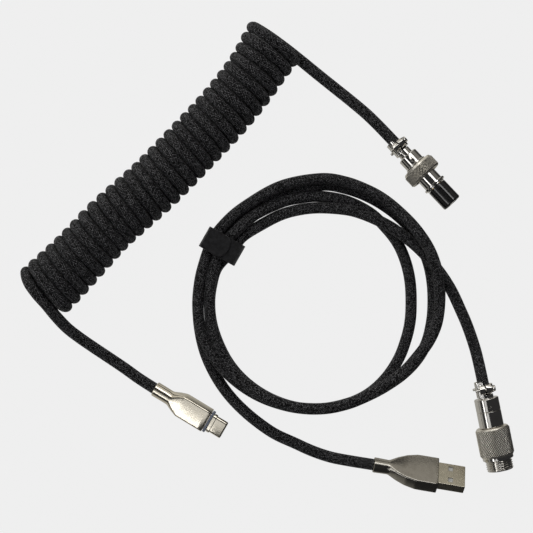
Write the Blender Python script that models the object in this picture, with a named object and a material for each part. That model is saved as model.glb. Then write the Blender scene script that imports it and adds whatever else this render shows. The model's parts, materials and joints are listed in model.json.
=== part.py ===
"""Detachable keyboard cable set: a coiled USB-C cable with an aviator plug, and a host
cable with an aviator socket and a USB-A plug, wound into a loop under a fabric tie.
Sizes are in millimetres and are scaled to metres as the meshes are made; +Z is up."""

import math

import bmesh
import bpy
from mathutils import Matrix, Vector

MM = 0.001
UP = Vector((0, 0, 1))
GAP = 0.3  # clearance between neighbouring solids
SMOOTH_ANGLE = math.radians(35)

# Layout: X and Y of the whole set's middle, which becomes the origin
SET_MIDDLE = (0.62, 5.2)

# Cord
CORD_DIAMETER = 5.1
CORD_POINT_STEP = 15.0
CORD_BEVEL_RESOLUTION = 3

# Coil: a close-wound helix, here one fat tube
COIL_DIAMETER = 25.6
COIL_MIDLINE = ((-98.0, -9.7), (-88.6, -1.8), (-79.4, 8.0), (-70.0, 17.7), (-60.1, 26.6),
                (-50.4, 35.4), (-41.1, 44.9), (-32.1, 54.4), (-23.1, 64.0), (-14.5, 74.0),
                (-6.5, 84.6), (1.0, 97.2))

# Connector axes: rear end and a point ahead, in the layout
USB_C_REAR = (-49.7, -54.5, 3.7)
USB_C_AHEAD = (-25.9, -68.6, 6.1)
USB_C_ROLL = 15.0
USB_A_REAR = (47.4, -87.8, 8.0)
USB_A_AHEAD = (75.6, -92.5, 8.0)
USB_A_ROLL = -46.0
PLUG_REAR = (56.2, 55.9, 5.9)
PLUG_AHEAD = (81.6, 28.3, 10.6)
SOCKET_REAR = (95.7, -50.6, 7.9)
SOCKET_AHEAD = (103.6, -89.7, 7.9)
TIE_MIDDLE = (-19.7, 9.0, 0.0)
TIE_AHEAD = (-14.74, 17.68, 0.0)

# Routes of the free cords, each from its own connector or from the coil
USB_C_LEAD = ((-50.2, -54.2, 3.7), (-57.3, -50.1, 3.4), (-63.6, -45.9, 3.0), (-70.8, -41.2, 3.1),
              (-77.7, -36.5, 4.4), (-83.6, -32.2, 7.2), (-88.4, -27.9, 11.0), (-92.6, -22.7, 15.5),
              (-96.3, -17.2, 19.3), (-100.2, -12.1, 21.8), (-104.0, -7.6, 22.0), (-106.7, -3.9, 19.6))
PLUG_LEAD = ((-4.6, 108.6, 4.4), (1.6, 103.2, 2.6), (8.7, 97.4, 2.6), (15.9, 91.5, 2.6),
             (23.0, 85.7, 2.6), (30.1, 80.0, 2.7), (37.3, 74.2, 3.0), (44.4, 68.1, 3.8),
             (50.1, 62.4, 4.9), (55.7, 56.4, 5.8))
HOST_ROUTE = (
    # out of the USB-A plug, up the left of the loop and over the top
    (46.9, -87.7, 8.0), (36.3, -86.3, 5.4), (28.3, -84.9, 3.6), (20.3, -82.3, 2.7),
    (12.3, -78.7, 2.6), (4.2, -75.0, 2.6), (-2.5, -70.6, 2.6), (-9.2, -65.2, 2.6),
    (-15.4, -59.0, 2.6), (-20.5, -52.3, 2.6), (-24.8, -44.7, 2.6), (-27.9, -36.8, 2.6),
    (-29.9, -27.5, 2.6), (-30.6, -17.6, 2.6), (-30.0, -8.3, 2.8), (-27.6, 0.2, 3.4),
    (-21.7, 10.3, 4.0), (-15.5, 18.1, 3.4), (-7.6, 24.8, 2.6), (6.5, 32.6, 2.6),
    (23.9, 36.3, 2.6), (35.5, 34.8, 2.6), (46.2, 30.8, 2.6), (55.6, 25.0, 2.6),
    # down the right, round the bottom and up the left
    (63.2, 18.1, 2.6), (68.6, 10.3, 2.6), (72.1, 2.0, 2.6), (73.9, -6.5, 2.6),
    (74.4, -15.9, 2.6), (73.7, -24.8, 2.8), (71.3, -34.1, 3.6), (66.9, -41.4, 5.4),
    (60.5, -47.7, 7.4), (52.5, -53.2, 7.8), (44.5, -57.4, 7.8), (36.1, -60.7, 7.8),
    (25.9, -62.9, 7.8), (14.8, -62.7, 7.8), (5.1, -60.6, 7.7), (-3.8, -57.1, 7.6),
    (-12.2, -51.8, 7.6), (-19.7, -44.8, 7.7), (-25.7, -36.0, 7.8), (-29.4, -26.4, 7.8),
    (-30.4, -17.5, 7.8), (-29.8, -8.6, 7.9), (-28.1, -0.4, 8.4),
    # second time over the top, where it lies highest
    (-24.0, 11.2, 8.8), (-17.9, 19.5, 8.3), (-8.9, 27.0, 7.6), (6.4, 35.6, 7.2),
    (23.7, 38.9, 7.0), (35.3, 37.4, 7.0), (45.9, 33.3, 7.1), (52.9, 29.1, 7.5),
    (59.2, 23.6, 9.6), (65.1, 17.2, 12.3), (70.5, 9.5, 12.9), (73.9, 2.0, 12.3),
    (76.0, -6.0, 9.7), (76.8, -14.9, 7.4), (75.6, -24.6, 7.5), (72.2, -32.5, 8.7),
    (67.2, -39.0, 10.9), (60.7, -46.0, 12.7), (52.1, -52.3, 12.9), (44.2, -56.8, 12.9),
    (35.8, -60.3, 12.9), (25.7, -62.4, 12.9), (14.7, -62.2, 12.9), (5.1, -59.7, 12.6),
    (-3.7, -55.7, 11.6), (-11.3, -50.1, 10.1), (-17.3, -42.7, 8.8), (-21.9, -33.6, 8.0),
    (-24.6, -24.6, 7.8), (-25.3, -15.7, 7.8), (-24.9, -7.8, 7.9), (-23.1, -0.2, 8.3),
    # third time, falling to the table beside the first
    (-19.4, 9.0, 8.6), (-13.3, 15.9, 7.8), (-5.6, 22.7, 6.0), (6.5, 28.6, 3.9),
    (15.0, 30.6, 2.8), (23.9, 31.3, 2.6), (35.5, 29.3, 2.6), (46.2, 24.0, 2.6),
    (52.9, 17.7, 2.6), (58.5, 10.5, 2.6), (62.1, 2.3, 2.6), (64.1, -6.5, 2.6),
    (64.6, -15.9, 2.6), (64.1, -24.8, 2.6), (62.1, -33.3, 2.6), (58.7, -41.8, 2.6),
    (52.9, -50.3, 2.6), (45.3, -57.0, 2.6), (36.4, -61.2, 2.6), (26.1, -63.4, 2.6),
    (15.0, -63.2, 2.6), (5.1, -60.5, 2.6), (-3.8, -55.9, 2.6), (-11.4, -49.8, 2.6),
    (-17.4, -42.4, 2.6), (-21.9, -33.5, 2.6), (-24.6, -24.8, 2.6), (-25.4, -15.9, 2.6),
    (-24.4, -7.8, 2.8), (-21.9, -0.2, 3.8),
    # last time, across the other turns and away to the socket
    (-15.6, 6.7, 4.6), (-10.9, 13.1, 4.4), (-2.5, 18.5, 3.0), (6.5, 23.1, 2.6),
    (15.0, 25.4, 2.7), (23.9, 26.2, 3.4), (35.3, 25.3, 5.6), (43.2, 23.1, 7.4),
    (52.5, 18.9, 7.8), (59.1, 14.7, 7.8), (65.8, 9.5, 7.8), (71.6, 3.7, 7.8),
    (76.2, -1.8, 7.6), (80.0, -7.1, 6.6), (83.2, -12.4, 5.0), (86.4, -19.0, 3.4),
    (89.0, -24.8, 2.9), (91.3, -31.0, 2.9), (93.2, -37.3, 3.6), (94.5, -43.5, 5.4),
    (95.6, -50.1, 7.9),
)

# Shared aviator connector sizes
CLAMP_BORE_RADIUS = 2.9
CLAMP_WALL = 1.1
CLAMP_SPAN = (1.8, 5.6)
CLAMP_EAR_REACH = 5.7
CLAMP_EAR_SPLIT = 0.3
CLAMP_EAR_DEPTH = 2.6
CLAMP_SCREW_HEIGHT = 4.3
CLAMP_SCREW_RADIUS = 0.65
CLAMP_SCREW_HEAD_RADIUS = 1.4
CLAMP_SCREW_HEAD_DEPTH = 1.5
CLAMP_SCREW_TIP = -4.5
CORD_GRIP = 5.0
CONTACT_CIRCLE_RADIUS = 2.4
CONTACT_COUNT = 4
WIRE_RADIUS = 0.75

# Aviator plug, along its axis from the clamp's rear end
PLUG_NECK = (6.3, 9.2)
PLUG_NECK_RADIUS = 3.05
PLUG_BARREL_END = 15.0
PLUG_BARREL_RADIUS = 4.62
PLUG_STOP_RADIUS = 5.1
PLUG_STOP_WIDTH = 0.6
SLEEVE_RADIUS = 4.55
SLEEVE_SPAN = (15.3, 28.0)
INSERT_RADIUS = 4.5
INSERT_SPAN = (28.3, 38.3)
INSERT_HOLE_RADIUS = 0.95
CLIP_SPAN = (26.5, 27.4)
CLIP_RADII = (4.5, 5.35)
CLIP_OPENING = math.radians(50)
RING_SPAN = (15.4, 21.5)
RING_RADIUS = 7.85
RING_BORE_RADIUS = 4.85
RING_LIP = 1.5
RING_CAVITY_RADIUS = 5.75
WASHER_SPAN = (17.2, 19.4)
WASHER_RADII = (4.85, 5.45)

# Aviator socket, along its axis from the clamp's rear end
SOCKET_NECK = (6.3, 7.8)
SOCKET_NECK_RADIUS = 3.4
SOCKET_BARREL_END = 20.6
SOCKET_BARREL_RADIUS = 5.4
SOCKET_SEAM = 13.6
BODY_SPAN = (20.9, 40.2)
KNURL_END = 34.0
KNURL_RADIUS = 7.65
SHOULDER_END = 35.3
SHOULDER_RADIUS = 6.8
THREAD_RADIUS = 5.95
SOCKET_BORE_RADIUS = 4.85
SOCKET_BORE_FLOOR = 29.0
SOCKET_INSERT_SPAN = (26.0, 30.5)
PIN_RADIUS = 0.5
PIN_END = 34.8

# USB-A plug, along its axis from the housing's rear end
USB_A_BODY = (15.4, 6.5)
USB_A_LENGTH = 28.7
USB_A_COLLAR_RADIUS = 3.35
USB_A_SHELL = (12.0, 4.5)
USB_A_SHELL_SPAN = (25.7, 40.7)
USB_A_WALL = 0.3
USB_A_CAVITY = (12.7, 5.2)
USB_A_CAVITY_FLOOR = 18.5
USB_A_HOLE_OFFSET = 3.1
USB_A_HOLE = (2.5, 2.1)
USB_A_HOLE_AT = 34.2
USB_A_CONTACT_PITCH = 2.25

# USB-C plug, along its axis from the housing's rear end
USB_C_BODY = (10.3, 6.3)
USB_C_LENGTH = 27.4
USB_C_COLLAR_RADIUS = 3.35
USB_C_SHELL = (8.34, 2.56)
USB_C_SHELL_SPAN = (24.0, 36.0)
USB_C_WALL = 0.25
USB_C_MOUTH_WALL = 0.55
USB_C_CAVITY = (8.94, 3.16)
USB_C_CAVITY_FLOOR = 16.5
USB_C_BAND_SPAN = (27.7, 28.8)
USB_C_BAND = (9.9, 5.9)
USB_C_FLANGE_SPAN = (29.1, 30.5)
USB_C_FLANGE = (9.3, 3.5)

# Fabric tie: a closed wrap and the loose end that lies on it
TIE_LENGTH = 10.0
TIE_CAVITY = (16.6, 11.3)
TIE_WALL = 0.7
TIE_FLOOR = 0.1
TAB_SPAN = (-3.4, 8.4)
TAB_THICKNESS = 0.9


# ---------------------------------------------------------------- helpers

def clear_scene():
    for obj in list(bpy.data.objects):
        bpy.data.objects.remove(obj, do_unlink=True)


def material(name, colour, roughness, metallic):
    made = bpy.data.materials.get(name) or bpy.data.materials.new(name)
    made.use_nodes = True
    shader = made.node_tree.nodes["Principled BSDF"]
    shader.inputs["Base Color"].default_value = (*colour, 1)
    shader.inputs["Roughness"].default_value = roughness
    shader.inputs["Metallic"].default_value = metallic
    made.diffuse_color = (*colour, 1)
    return made


def finish_mesh(name, bm, surface, parent, helper=False):
    """Turns a bmesh in millimetres into an object in metres."""
    bmesh.ops.remove_doubles(bm, verts=bm.verts, dist=1e-5)
    bmesh.ops.recalc_face_normals(bm, faces=bm.faces)
    if bm.calc_volume(signed=True) < 0:
        bmesh.ops.reverse_faces(bm, faces=bm.faces)
    bmesh.ops.scale(bm, vec=(MM, MM, MM), verts=bm.verts)
    mesh = bpy.data.meshes.new(name)
    bm.to_mesh(mesh)
    bm.free()
    mesh.shade_smooth()
    mesh.set_sharp_from_angle(angle=SMOOTH_ANGLE)
    obj = bpy.data.objects.new(name, mesh)
    bpy.context.scene.collection.objects.link(obj)
    obj.parent = parent
    if surface:
        mesh.materials.append(surface)
    if helper:
        obj.hide_render = True
        obj.display_type = "WIRE"
    return obj


def boolean(obj, tool, operation):
    modifier = obj.modifiers.new(tool.name, "BOOLEAN")
    modifier.operation = operation
    modifier.object = tool


def empty(name, parent, location):
    made = bpy.data.objects.new(name, None)
    bpy.context.scene.collection.objects.link(made)
    made.parent = parent
    made.location = Vector(location) * MM
    return made


def axis_empty(name, parent, rear, ahead, roll_degrees=0.0):
    """An empty whose +Z runs from rear to ahead and whose +Y is as near up as that allows."""
    made = empty(name, parent, rear)
    forward = (Vector(ahead) - Vector(rear)).normalized()
    side = UP.cross(forward).normalized()
    turn = Matrix((side, forward.cross(side), forward)).transposed()
    roll = Matrix.Rotation(math.radians(roll_degrees), 3, "Z")
    made.rotation_euler = (turn @ roll).to_euler()
    return made


def turned(name, profile, surface, parent, segments=32, turn=math.tau, helper=False):
    """A closed (radius, height) profile turned about Z."""
    bm = bmesh.new()
    points = [bm.verts.new((radius, 0, height)) for radius, height in profile]
    edges = [bm.edges.new((points[i - 1], points[i])) for i in range(len(points))]
    if turn < math.tau:
        bm.faces.new(points)
    bmesh.ops.spin(
        bm, geom=points + edges + list(bm.faces), cent=(0, 0, 0), axis=(0, 0, 1), angle=turn,
        steps=segments, use_merge=turn == math.tau, use_duplicate=False,
    )
    return finish_mesh(name, bm, surface, parent, helper)


def skinned(name, rings, surface, parent, capped=True, helper=False):
    """Faces between rings of equally many points; uncapped rings close round on themselves."""
    bm = bmesh.new()
    loops = [[bm.verts.new(point) for point in ring] for ring in rings]
    count = len(rings[0])
    pairs = list(zip(loops, loops[1:]))
    if not capped:
        pairs.append((loops[-1], loops[0]))
    for low, high in pairs:
        for i in range(count):
            bm.faces.new((low[i - 1], low[i], high[i], high[i - 1]))
    if capped:
        bm.faces.new(loops[0])
        bm.faces.new(loops[-1])
    return finish_mesh(name, bm, surface, parent, helper)


def rounded_ring(width, height, radius, at, per_corner=4):
    """A rounded rectangle about Z at height at. A radius of half the sides gives a circle."""
    radius = min(radius, width / 2, height / 2)
    points = []
    for corner in range(4):
        sign_x = 1 if corner in (0, 3) else -1
        sign_y = 1 if corner in (0, 1) else -1
        for step in range(per_corner):
            angle = math.pi / 2 * (corner + step / (per_corner - 1))
            x = sign_x * (width / 2 - radius) + radius * math.cos(angle)
            y = sign_y * (height / 2 - radius) + radius * math.sin(angle)
            points.append((x, y, at))
    return points


def box(name, low, high, surface, parent, helper=False):
    bm = bmesh.new()
    bmesh.ops.create_cube(bm, size=1)
    size = [b - a for a, b in zip(low, high)]
    middle = [(a + b) / 2 for a, b in zip(low, high)]
    bmesh.ops.scale(bm, vec=size, verts=bm.verts)
    bmesh.ops.translate(bm, vec=middle, verts=bm.verts)
    return finish_mesh(name, bm, surface, parent, helper)


def round_bar(name, radius, start, end, surface, parent, segments=16, helper=False):
    """A cylinder from start to end."""
    bm = bmesh.new()
    run = Vector(end) - Vector(start)
    turn = UP.rotation_difference(run).to_matrix().to_4x4()
    place = Matrix.Translation((Vector(start) + Vector(end)) / 2) @ turn
    bmesh.ops.create_cone(
        bm, cap_ends=True, segments=segments, radius1=radius, radius2=radius,
        depth=run.length, matrix=place,
    )
    return finish_mesh(name, bm, surface, parent, helper)


def catmull_rom(points, per_span=12):
    """A smooth curve through the points, as a dense list."""
    points = [Vector(p) for p in points]
    ends = [2 * points[0] - points[1], *points, 2 * points[-1] - points[-2]]
    dense = []
    for a, b, c, d in zip(ends, ends[1:], ends[2:], ends[3:]):
        for step in range(per_span):
            t = step / per_span
            dense.append(
                0.5 * (2 * b + (c - a) * t + (2 * a - 5 * b + 4 * c - d) * t**2
                       + (3 * b - a - 3 * c + d) * t**3)
            )
    return [*dense, points[-1]]


def even_steps(points, step):
    """Points at equal distances of about step along a dense list."""
    reach = [0.0]
    for a, b in zip(points, points[1:]):
        reach.append(reach[-1] + (b - a).length)
    count = max(2, round(reach[-1] / step))
    found, index = [], 0
    for k in range(count + 1):
        wanted = reach[-1] * k / count
        while index < len(points) - 2 and reach[index + 1] < wanted:
            index += 1
        share = (wanted - reach[index]) / (reach[index + 1] - reach[index])
        found.append(points[index].lerp(points[index + 1], share))
    return found


def tube(name, points, diameter, surface, parent, resolution=CORD_BEVEL_RESOLUTION):
    """A round curve object with filled ends along the points."""
    curve = bpy.data.curves.new(name, "CURVE")
    curve.dimensions = "3D"
    curve.bevel_depth = diameter / 2 * MM
    curve.bevel_resolution = resolution
    curve.use_fill_caps = True
    spline = curve.splines.new("POLY")
    spline.points.add(len(points) - 1)
    for point, place in zip(spline.points, points):
        point.co = (*(Vector(place) * MM), 1)
    curve.materials.append(surface)
    obj = bpy.data.objects.new(name, curve)
    bpy.context.scene.collection.objects.link(obj)
    obj.parent = parent
    return obj


def gripped_end(rear, ahead):
    """Where a cord ends inside the clamp of the connector with this axis."""
    forward = (Vector(ahead) - Vector(rear)).normalized()
    return Vector(rear) + forward * CORD_GRIP


def cord(name, route, surface, parent, grip=None, step=CORD_POINT_STEP):
    """A cord tube that starts a gap short of what it meets, and ends so too or at its grip."""
    dense = catmull_rom(route)
    dense[0] = dense[0] + (dense[1] - dense[0]).normalized() * GAP
    if not grip:
        dense[-1] = dense[-1] + (dense[-2] - dense[-1]).normalized() * GAP
    points = even_steps(dense, step)
    if grip:
        points.append(grip)
    return tube(name, points, CORD_DIAMETER, surface, parent)


def contact_places():
    for k in range(CONTACT_COUNT):
        angle = math.tau * (k + 0.5) / CONTACT_COUNT
        yield k + 1, CONTACT_CIRCLE_RADIUS * math.cos(angle), CONTACT_CIRCLE_RADIUS * math.sin(angle)


# ---------------------------------------------------------------- aviator connector pieces

def half_saddle(name, side, near, far, surface, parent, helper=False):
    """Half a pipe about Z on one side of the cord, from near to far along the axis."""
    inner, outer = CLAMP_BORE_RADIUS, CLAMP_BORE_RADIUS + CLAMP_WALL
    start = math.radians(-80)
    angles = [start + math.radians(20) * k for k in range(9)]
    outline = [(side * outer * math.cos(a), outer * math.sin(a)) for a in angles]
    outline += [(side * inner * math.cos(a), inner * math.sin(a)) for a in reversed(angles)]
    rings = [[(x, y, z) for x, y in outline] for z in (near, far)]
    return skinned(name, rings, surface, parent, helper=helper)


def add_ears(obj, side, surface, parent):
    """Joins the two screw ears of one clamp half to it and drills them."""
    near, far = CLAMP_SPAN
    inner_x = side * CLAMP_EAR_SPLIT
    outer_x = side * CLAMP_EAR_DEPTH
    for label, sign in (("upper", 1), ("lower", -1)):
        low_y, high_y = sorted((sign * (CLAMP_BORE_RADIUS - 0.1), sign * CLAMP_EAR_REACH))
        low_x, high_x = sorted((inner_x, outer_x))
        ear = box(f"{obj.name}_{label}_ear", (low_x, low_y, near), (high_x, high_y, far),
                  surface, parent, helper=True)
        boolean(obj, ear, "UNION")
    cord_bore = round_bar(f"{obj.name}_cord_bore", CLAMP_BORE_RADIUS, (0, 0, near - 2),
                          (0, 0, far + 0.2), surface, parent, 20, helper=True)
    boolean(obj, cord_bore, "DIFFERENCE")
    for label, sign in (("upper", 1), ("lower", -1)):
        height, along = sign * CLAMP_SCREW_HEIGHT, (near + far) / 2
        hole = round_bar(f"{obj.name}_{label}_hole", CLAMP_SCREW_RADIUS + GAP, (-7, height, along),
                         (7, height, along), surface, parent, 12, helper=True)
        boolean(obj, hole, "DIFFERENCE")


def clamp_bar(prefix, surface, parent):
    bar = half_saddle(f"{prefix}_clamp_bar", 1, *CLAMP_SPAN, surface, parent)
    add_ears(bar, 1, surface, parent)


def clamp_screws(prefix, surface, parent):
    along = sum(CLAMP_SPAN) / 2
    head_x = CLAMP_EAR_DEPTH + GAP
    for label, sign in (("upper", 1), ("lower", -1)):
        height = sign * CLAMP_SCREW_HEIGHT
        name = f"{prefix}_clamp_screw_{label}"
        screw = round_bar(name, CLAMP_SCREW_RADIUS, (CLAMP_SCREW_TIP, height, along),
                          (head_x + 0.5, height, along), surface, parent, 12)
        head = round_bar(f"{name}_head", CLAMP_SCREW_HEAD_RADIUS, (head_x, height, along),
                         (head_x + CLAMP_SCREW_HEAD_DEPTH, height, along), surface, parent, 12,
                         helper=True)
        slot_x = head_x + CLAMP_SCREW_HEAD_DEPTH
        slot = box(f"{name}_slot", (slot_x - 0.6, height - 0.25, along - 2),
                   (slot_x + 1, height + 0.25, along + 2), surface, parent, helper=True)
        boolean(screw, head, "UNION")
        boolean(screw, slot, "DIFFERENCE")


def barrel(prefix, profile, neck_start, screw_at, radius, surface, parent):
    """The turned barrel with the clamp's tongue behind it and a hole for its grub screw."""
    obj = turned(f"{prefix}_barrel", profile, surface, parent)
    tongue = half_saddle(f"{prefix}_tongue", -1, 0.4, neck_start + 0.8, surface, parent, helper=True)
    boolean(obj, tongue, "UNION")
    add_ears(obj, -1, surface, parent)
    hole = round_bar(f"{prefix}_grub_hole", 0.95, (0, radius - 2.2, screw_at),
                     (0, radius + 2, screw_at), surface, parent, 12, helper=True)
    boolean(obj, hole, "DIFFERENCE")
    round_bar(f"{prefix}_set_screw", 0.62, (0, radius - 1.1, screw_at),
              (0, radius - 0.2, screw_at), surface, parent, 10)


def wire_bundle(name, start, end, surface, parent):
    """Four insulated wires lying together, as one four-lobed bar."""
    count = 32
    outline = []
    for k in range(count):
        angle = math.tau * k / count
        reach = WIRE_RADIUS * (1.7 + 0.55 * math.cos(4 * angle))
        outline.append((reach * math.cos(angle), reach * math.sin(angle)))
    rings = [[(x, y, z) for x, y in outline] for z in (start, end)]
    skinned(name, rings, surface, parent)


def contact_cutters(prefix, radius, start, end, obj, surface, parent):
    for number, x, y in contact_places():
        hole = round_bar(f"{prefix}_hole_{number}", radius, (x, y, start), (x, y, end),
                         surface, parent, 12, helper=True)
        boolean(obj, hole, "DIFFERENCE")


# ---------------------------------------------------------------- the aviator plug

def plug_barrel(steel, parent):
    start, neck_end = PLUG_NECK
    end, outer = PLUG_BARREL_END, PLUG_BARREL_RADIUS
    profile = ((PLUG_NECK_RADIUS, start), (PLUG_NECK_RADIUS, neck_end), (outer - 0.4, neck_end),
               (outer, neck_end + 0.4), (outer, end - PLUG_STOP_WIDTH),
               (PLUG_STOP_RADIUS, end - PLUG_STOP_WIDTH), (PLUG_STOP_RADIUS, end), (3.8, end),
               (3.8, neck_end + 0.7), (2.3, neck_end + 0.7), (2.3, start))
    barrel("plug", profile, start, 12.9, outer, steel, parent)


def plug_sleeve(steel, parent):
    start, end = SLEEVE_SPAN
    groove_low, groove_high = CLIP_SPAN[0] - GAP, CLIP_SPAN[1] + GAP
    groove = CLIP_RADII[0] - GAP
    profile = ((3.5, start - 2.6), (3.5, start), (SLEEVE_RADIUS, start),
               (SLEEVE_RADIUS, groove_low), (groove, groove_low), (groove, groove_high),
               (SLEEVE_RADIUS, groove_high), (SLEEVE_RADIUS, end), (3.4, end), (3.4, end - 4),
               (2.8, end - 4), (2.8, start - 2.6))
    turned("plug_sleeve", profile, steel, parent)


def plug_retaining_ring(steel, parent):
    low, high = CLIP_SPAN
    inner, outer = CLIP_RADII
    profile = ((inner, low), (outer, low), (outer, high), (inner, high))
    clip = turned("plug_retaining_ring", profile, steel, parent, 24, math.tau - CLIP_OPENING)
    clip.rotation_euler = (0, 0, -math.pi / 2 + CLIP_OPENING / 2)


def plug_insert(plastic, parent):
    start, end = INSERT_SPAN
    outer = INSERT_RADIUS
    profile = ((0, start - 2.8), (3.1, start - 2.8), (3.1, start), (outer, start),
               (outer, end - 0.3), (outer - 0.3, end), (0, end))
    insert = turned("plug_insert", profile, plastic, parent)
    key = box("plug_insert_key", (-0.8, outer - 0.9, start + 1.5), (0.8, outer + 1, end + 1),
              plastic, parent, helper=True)
    boolean(insert, key, "DIFFERENCE")
    contact_cutters("plug_insert", INSERT_HOLE_RADIUS, start - 4, end + 1, insert, plastic, parent)


def plug_contacts(gold, parent):
    start, end = INSERT_SPAN
    for number, x, y in contact_places():
        contact = round_bar(f"plug_contact_{number}", INSERT_HOLE_RADIUS - GAP,
                            (x, y, start - 2.4), (x, y, end - 1.2), gold, parent, 10)
        socket = round_bar(f"plug_contact_{number}_bore", 0.35, (x, y, end - 6), (x, y, end),
                           gold, parent, 8, helper=True)
        boolean(contact, socket, "DIFFERENCE")


def coupling_ring(steel, parent):
    start, end = RING_SPAN
    profile = ((RING_BORE_RADIUS, start), (7.0, start), (RING_RADIUS, start + 0.9),
               (RING_RADIUS, end - 0.3), (RING_RADIUS - 0.3, end), (RING_CAVITY_RADIUS, end),
               (RING_CAVITY_RADIUS, start + RING_LIP), (RING_BORE_RADIUS, start + RING_LIP))
    turned("coupling_ring", profile, steel, parent, 40)
    low, high = WASHER_SPAN
    inner, outer = WASHER_RADII
    turned("coupling_washer", ((inner, low), (outer, low), (outer, high), (inner, high)),
           steel, parent)


def aviator_plug(looks, parent):
    plug_barrel(looks["steel"], parent)
    clamp_bar("plug", looks["steel"], parent)
    clamp_screws("plug", looks["steel"], parent)
    plug_sleeve(looks["steel"], parent)
    plug_retaining_ring(looks["steel"], parent)
    plug_insert(looks["black"], parent)
    plug_contacts(looks["gold"], parent)
    wire_bundle("plug_wires", CORD_GRIP + GAP, INSERT_SPAN[0] - 3.2, looks["wire"], parent)
    coupling_ring(looks["steel"], parent)


# ---------------------------------------------------------------- the aviator socket

def socket_barrel(steel, parent):
    start, neck_end = SOCKET_NECK
    end, outer = SOCKET_BARREL_END, SOCKET_BARREL_RADIUS
    seam = SOCKET_SEAM
    profile = ((SOCKET_NECK_RADIUS, start), (SOCKET_NECK_RADIUS, neck_end),
               (outer - 0.3, neck_end), (outer, neck_end + 0.3), (outer, seam - 0.15),
               (outer - 0.3, seam), (outer, seam + 0.15), (outer, end), (4.5, end),
               (4.5, neck_end + 0.9), (2.3, neck_end + 0.9), (2.3, start))
    barrel("socket", profile, start, 11.2, outer, steel, parent)


def socket_body(steel, parent):
    start, end = BODY_SPAN
    bore = SOCKET_BORE_RADIUS
    profile = ((4.2, start - 3), (4.2, start), (KNURL_RADIUS - 0.6, start),
               (KNURL_RADIUS, start + 0.6), (KNURL_RADIUS, KNURL_END - 0.6),
               (KNURL_RADIUS - 0.6, KNURL_END), (SHOULDER_RADIUS, KNURL_END),
               (SHOULDER_RADIUS, SHOULDER_END), (THREAD_RADIUS, SHOULDER_END),
               (THREAD_RADIUS, end - 0.5), (THREAD_RADIUS - 0.4, end), (bore, end),
               (bore, SOCKET_BORE_FLOOR - 3.3), (3.2, SOCKET_BORE_FLOOR - 3.3), (3.2, start - 3))
    turned("socket_body", profile, steel, parent, 40)


def socket_insert(plastic, gold, parent):
    start, end = SOCKET_INSERT_SPAN
    profile = ((0, start), (SOCKET_BORE_RADIUS - GAP, start), (SOCKET_BORE_RADIUS - GAP, end),
               (0, end))
    insert = turned("socket_insert", profile, plastic, parent)
    contact_cutters("socket_insert", PIN_RADIUS + GAP, start - 1, end + 1, insert, plastic, parent)
    for number, x, y in contact_places():
        round_bar(f"socket_pin_{number}", PIN_RADIUS, (x, y, start + 0.2), (x, y, PIN_END),
                  gold, parent, 10)


def aviator_socket(looks, parent):
    socket_barrel(looks["steel"], parent)
    clamp_bar("socket", looks["steel"], parent)
    clamp_screws("socket", looks["steel"], parent)
    socket_body(looks["steel"], parent)
    socket_insert(looks["black"], looks["gold"], parent)
    wire_bundle("socket_wires", CORD_GRIP + GAP, SOCKET_INSERT_SPAN[0] - GAP, looks["wire"], parent)


# ---------------------------------------------------------------- USB plugs

def housing_rings(collar_radius, body, length, waist_share, full_share):
    """Rings from a round collar through a waist to the flat body's front."""
    width, height = body
    round_size = 2 * collar_radius
    waist = round_size - 0.25
    rings = [rounded_ring(round_size, round_size, collar_radius, 0),
             rounded_ring(round_size, round_size, collar_radius, 1.2),
             rounded_ring(waist, waist, waist / 2, waist_share * length)]
    for share in (0.25, 0.5, 0.75, 1.0):
        ease = share * share * (3 - 2 * share)
        at = length * (waist_share + (full_share - waist_share) * share)
        wide = waist + (width - waist) * ease
        high = waist + (height - waist) * ease
        rings.append(rounded_ring(wide, high, waist / 2 * (1 - ease) + 0.9 * ease, at))
    rings.append(rounded_ring(width, height, 0.9, length - 0.4))
    rings.append(rounded_ring(width - 0.5, height - 0.5, 0.8, length))
    return rings


def housing(name, rings, cavity, floor, length, surface, parent):
    """The housing with a cavity open at its front."""
    width, height = cavity
    rings = [*rings, rounded_ring(width, height, 0.9, length), rounded_ring(width, height, 0.9, floor)]
    skinned(name, rings, surface, parent)


def usb_a_shell(steel, parent):
    width, height = USB_A_SHELL
    start, end = USB_A_SHELL_SPAN
    wall = 2 * USB_A_WALL
    rings = [rounded_ring(width, height, 0.6, start), rounded_ring(width, height, 0.6, end),
             rounded_ring(width - wall, height - wall, 0.35, end),
             rounded_ring(width - wall, height - wall, 0.35, start)]
    shell = skinned("usb_a_shell", rings, steel, parent, capped=False)
    wide, deep = USB_A_HOLE
    for label, side in (("inner", -1), ("outer", 1)):
        middle = side * USB_A_HOLE_OFFSET
        window = box(f"usb_a_window_{label}", (middle - wide / 2, -4, USB_A_HOLE_AT - deep / 2),
                     (middle + wide / 2, 4, USB_A_HOLE_AT + deep / 2), steel, parent, helper=True)
        boolean(shell, window, "DIFFERENCE")


def usb_a_inside(looks, parent):
    start, end = USB_A_SHELL_SPAN
    box("usb_a_tongue", (-5.35, 0.15, start + 0.3), (5.35, 1.6, end - 0.4), looks["white"], parent)
    for k in range(4):
        x = (k - 1.5) * USB_A_CONTACT_PITCH
        box(f"usb_a_contact_{k + 1}", (x - 0.5, -0.4, start + 2), (x + 0.5, -0.15, end - 1),
            looks["gold"], parent)
    box("usb_a_board", (-5.0, -0.5, USB_A_CAVITY_FLOOR + 0.5), (5.0, 0.5, start - 0.3),
        looks["board"], parent)


def usb_a_plug(looks, parent):
    rings = housing_rings(USB_A_COLLAR_RADIUS, USB_A_BODY, USB_A_LENGTH, 0.24, 0.72)
    housing("usb_a_housing", rings, USB_A_CAVITY, USB_A_CAVITY_FLOOR, USB_A_LENGTH,
            looks["pewter"], parent)
    usb_a_shell(looks["shell"], parent)
    usb_a_inside(looks, parent)


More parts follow.
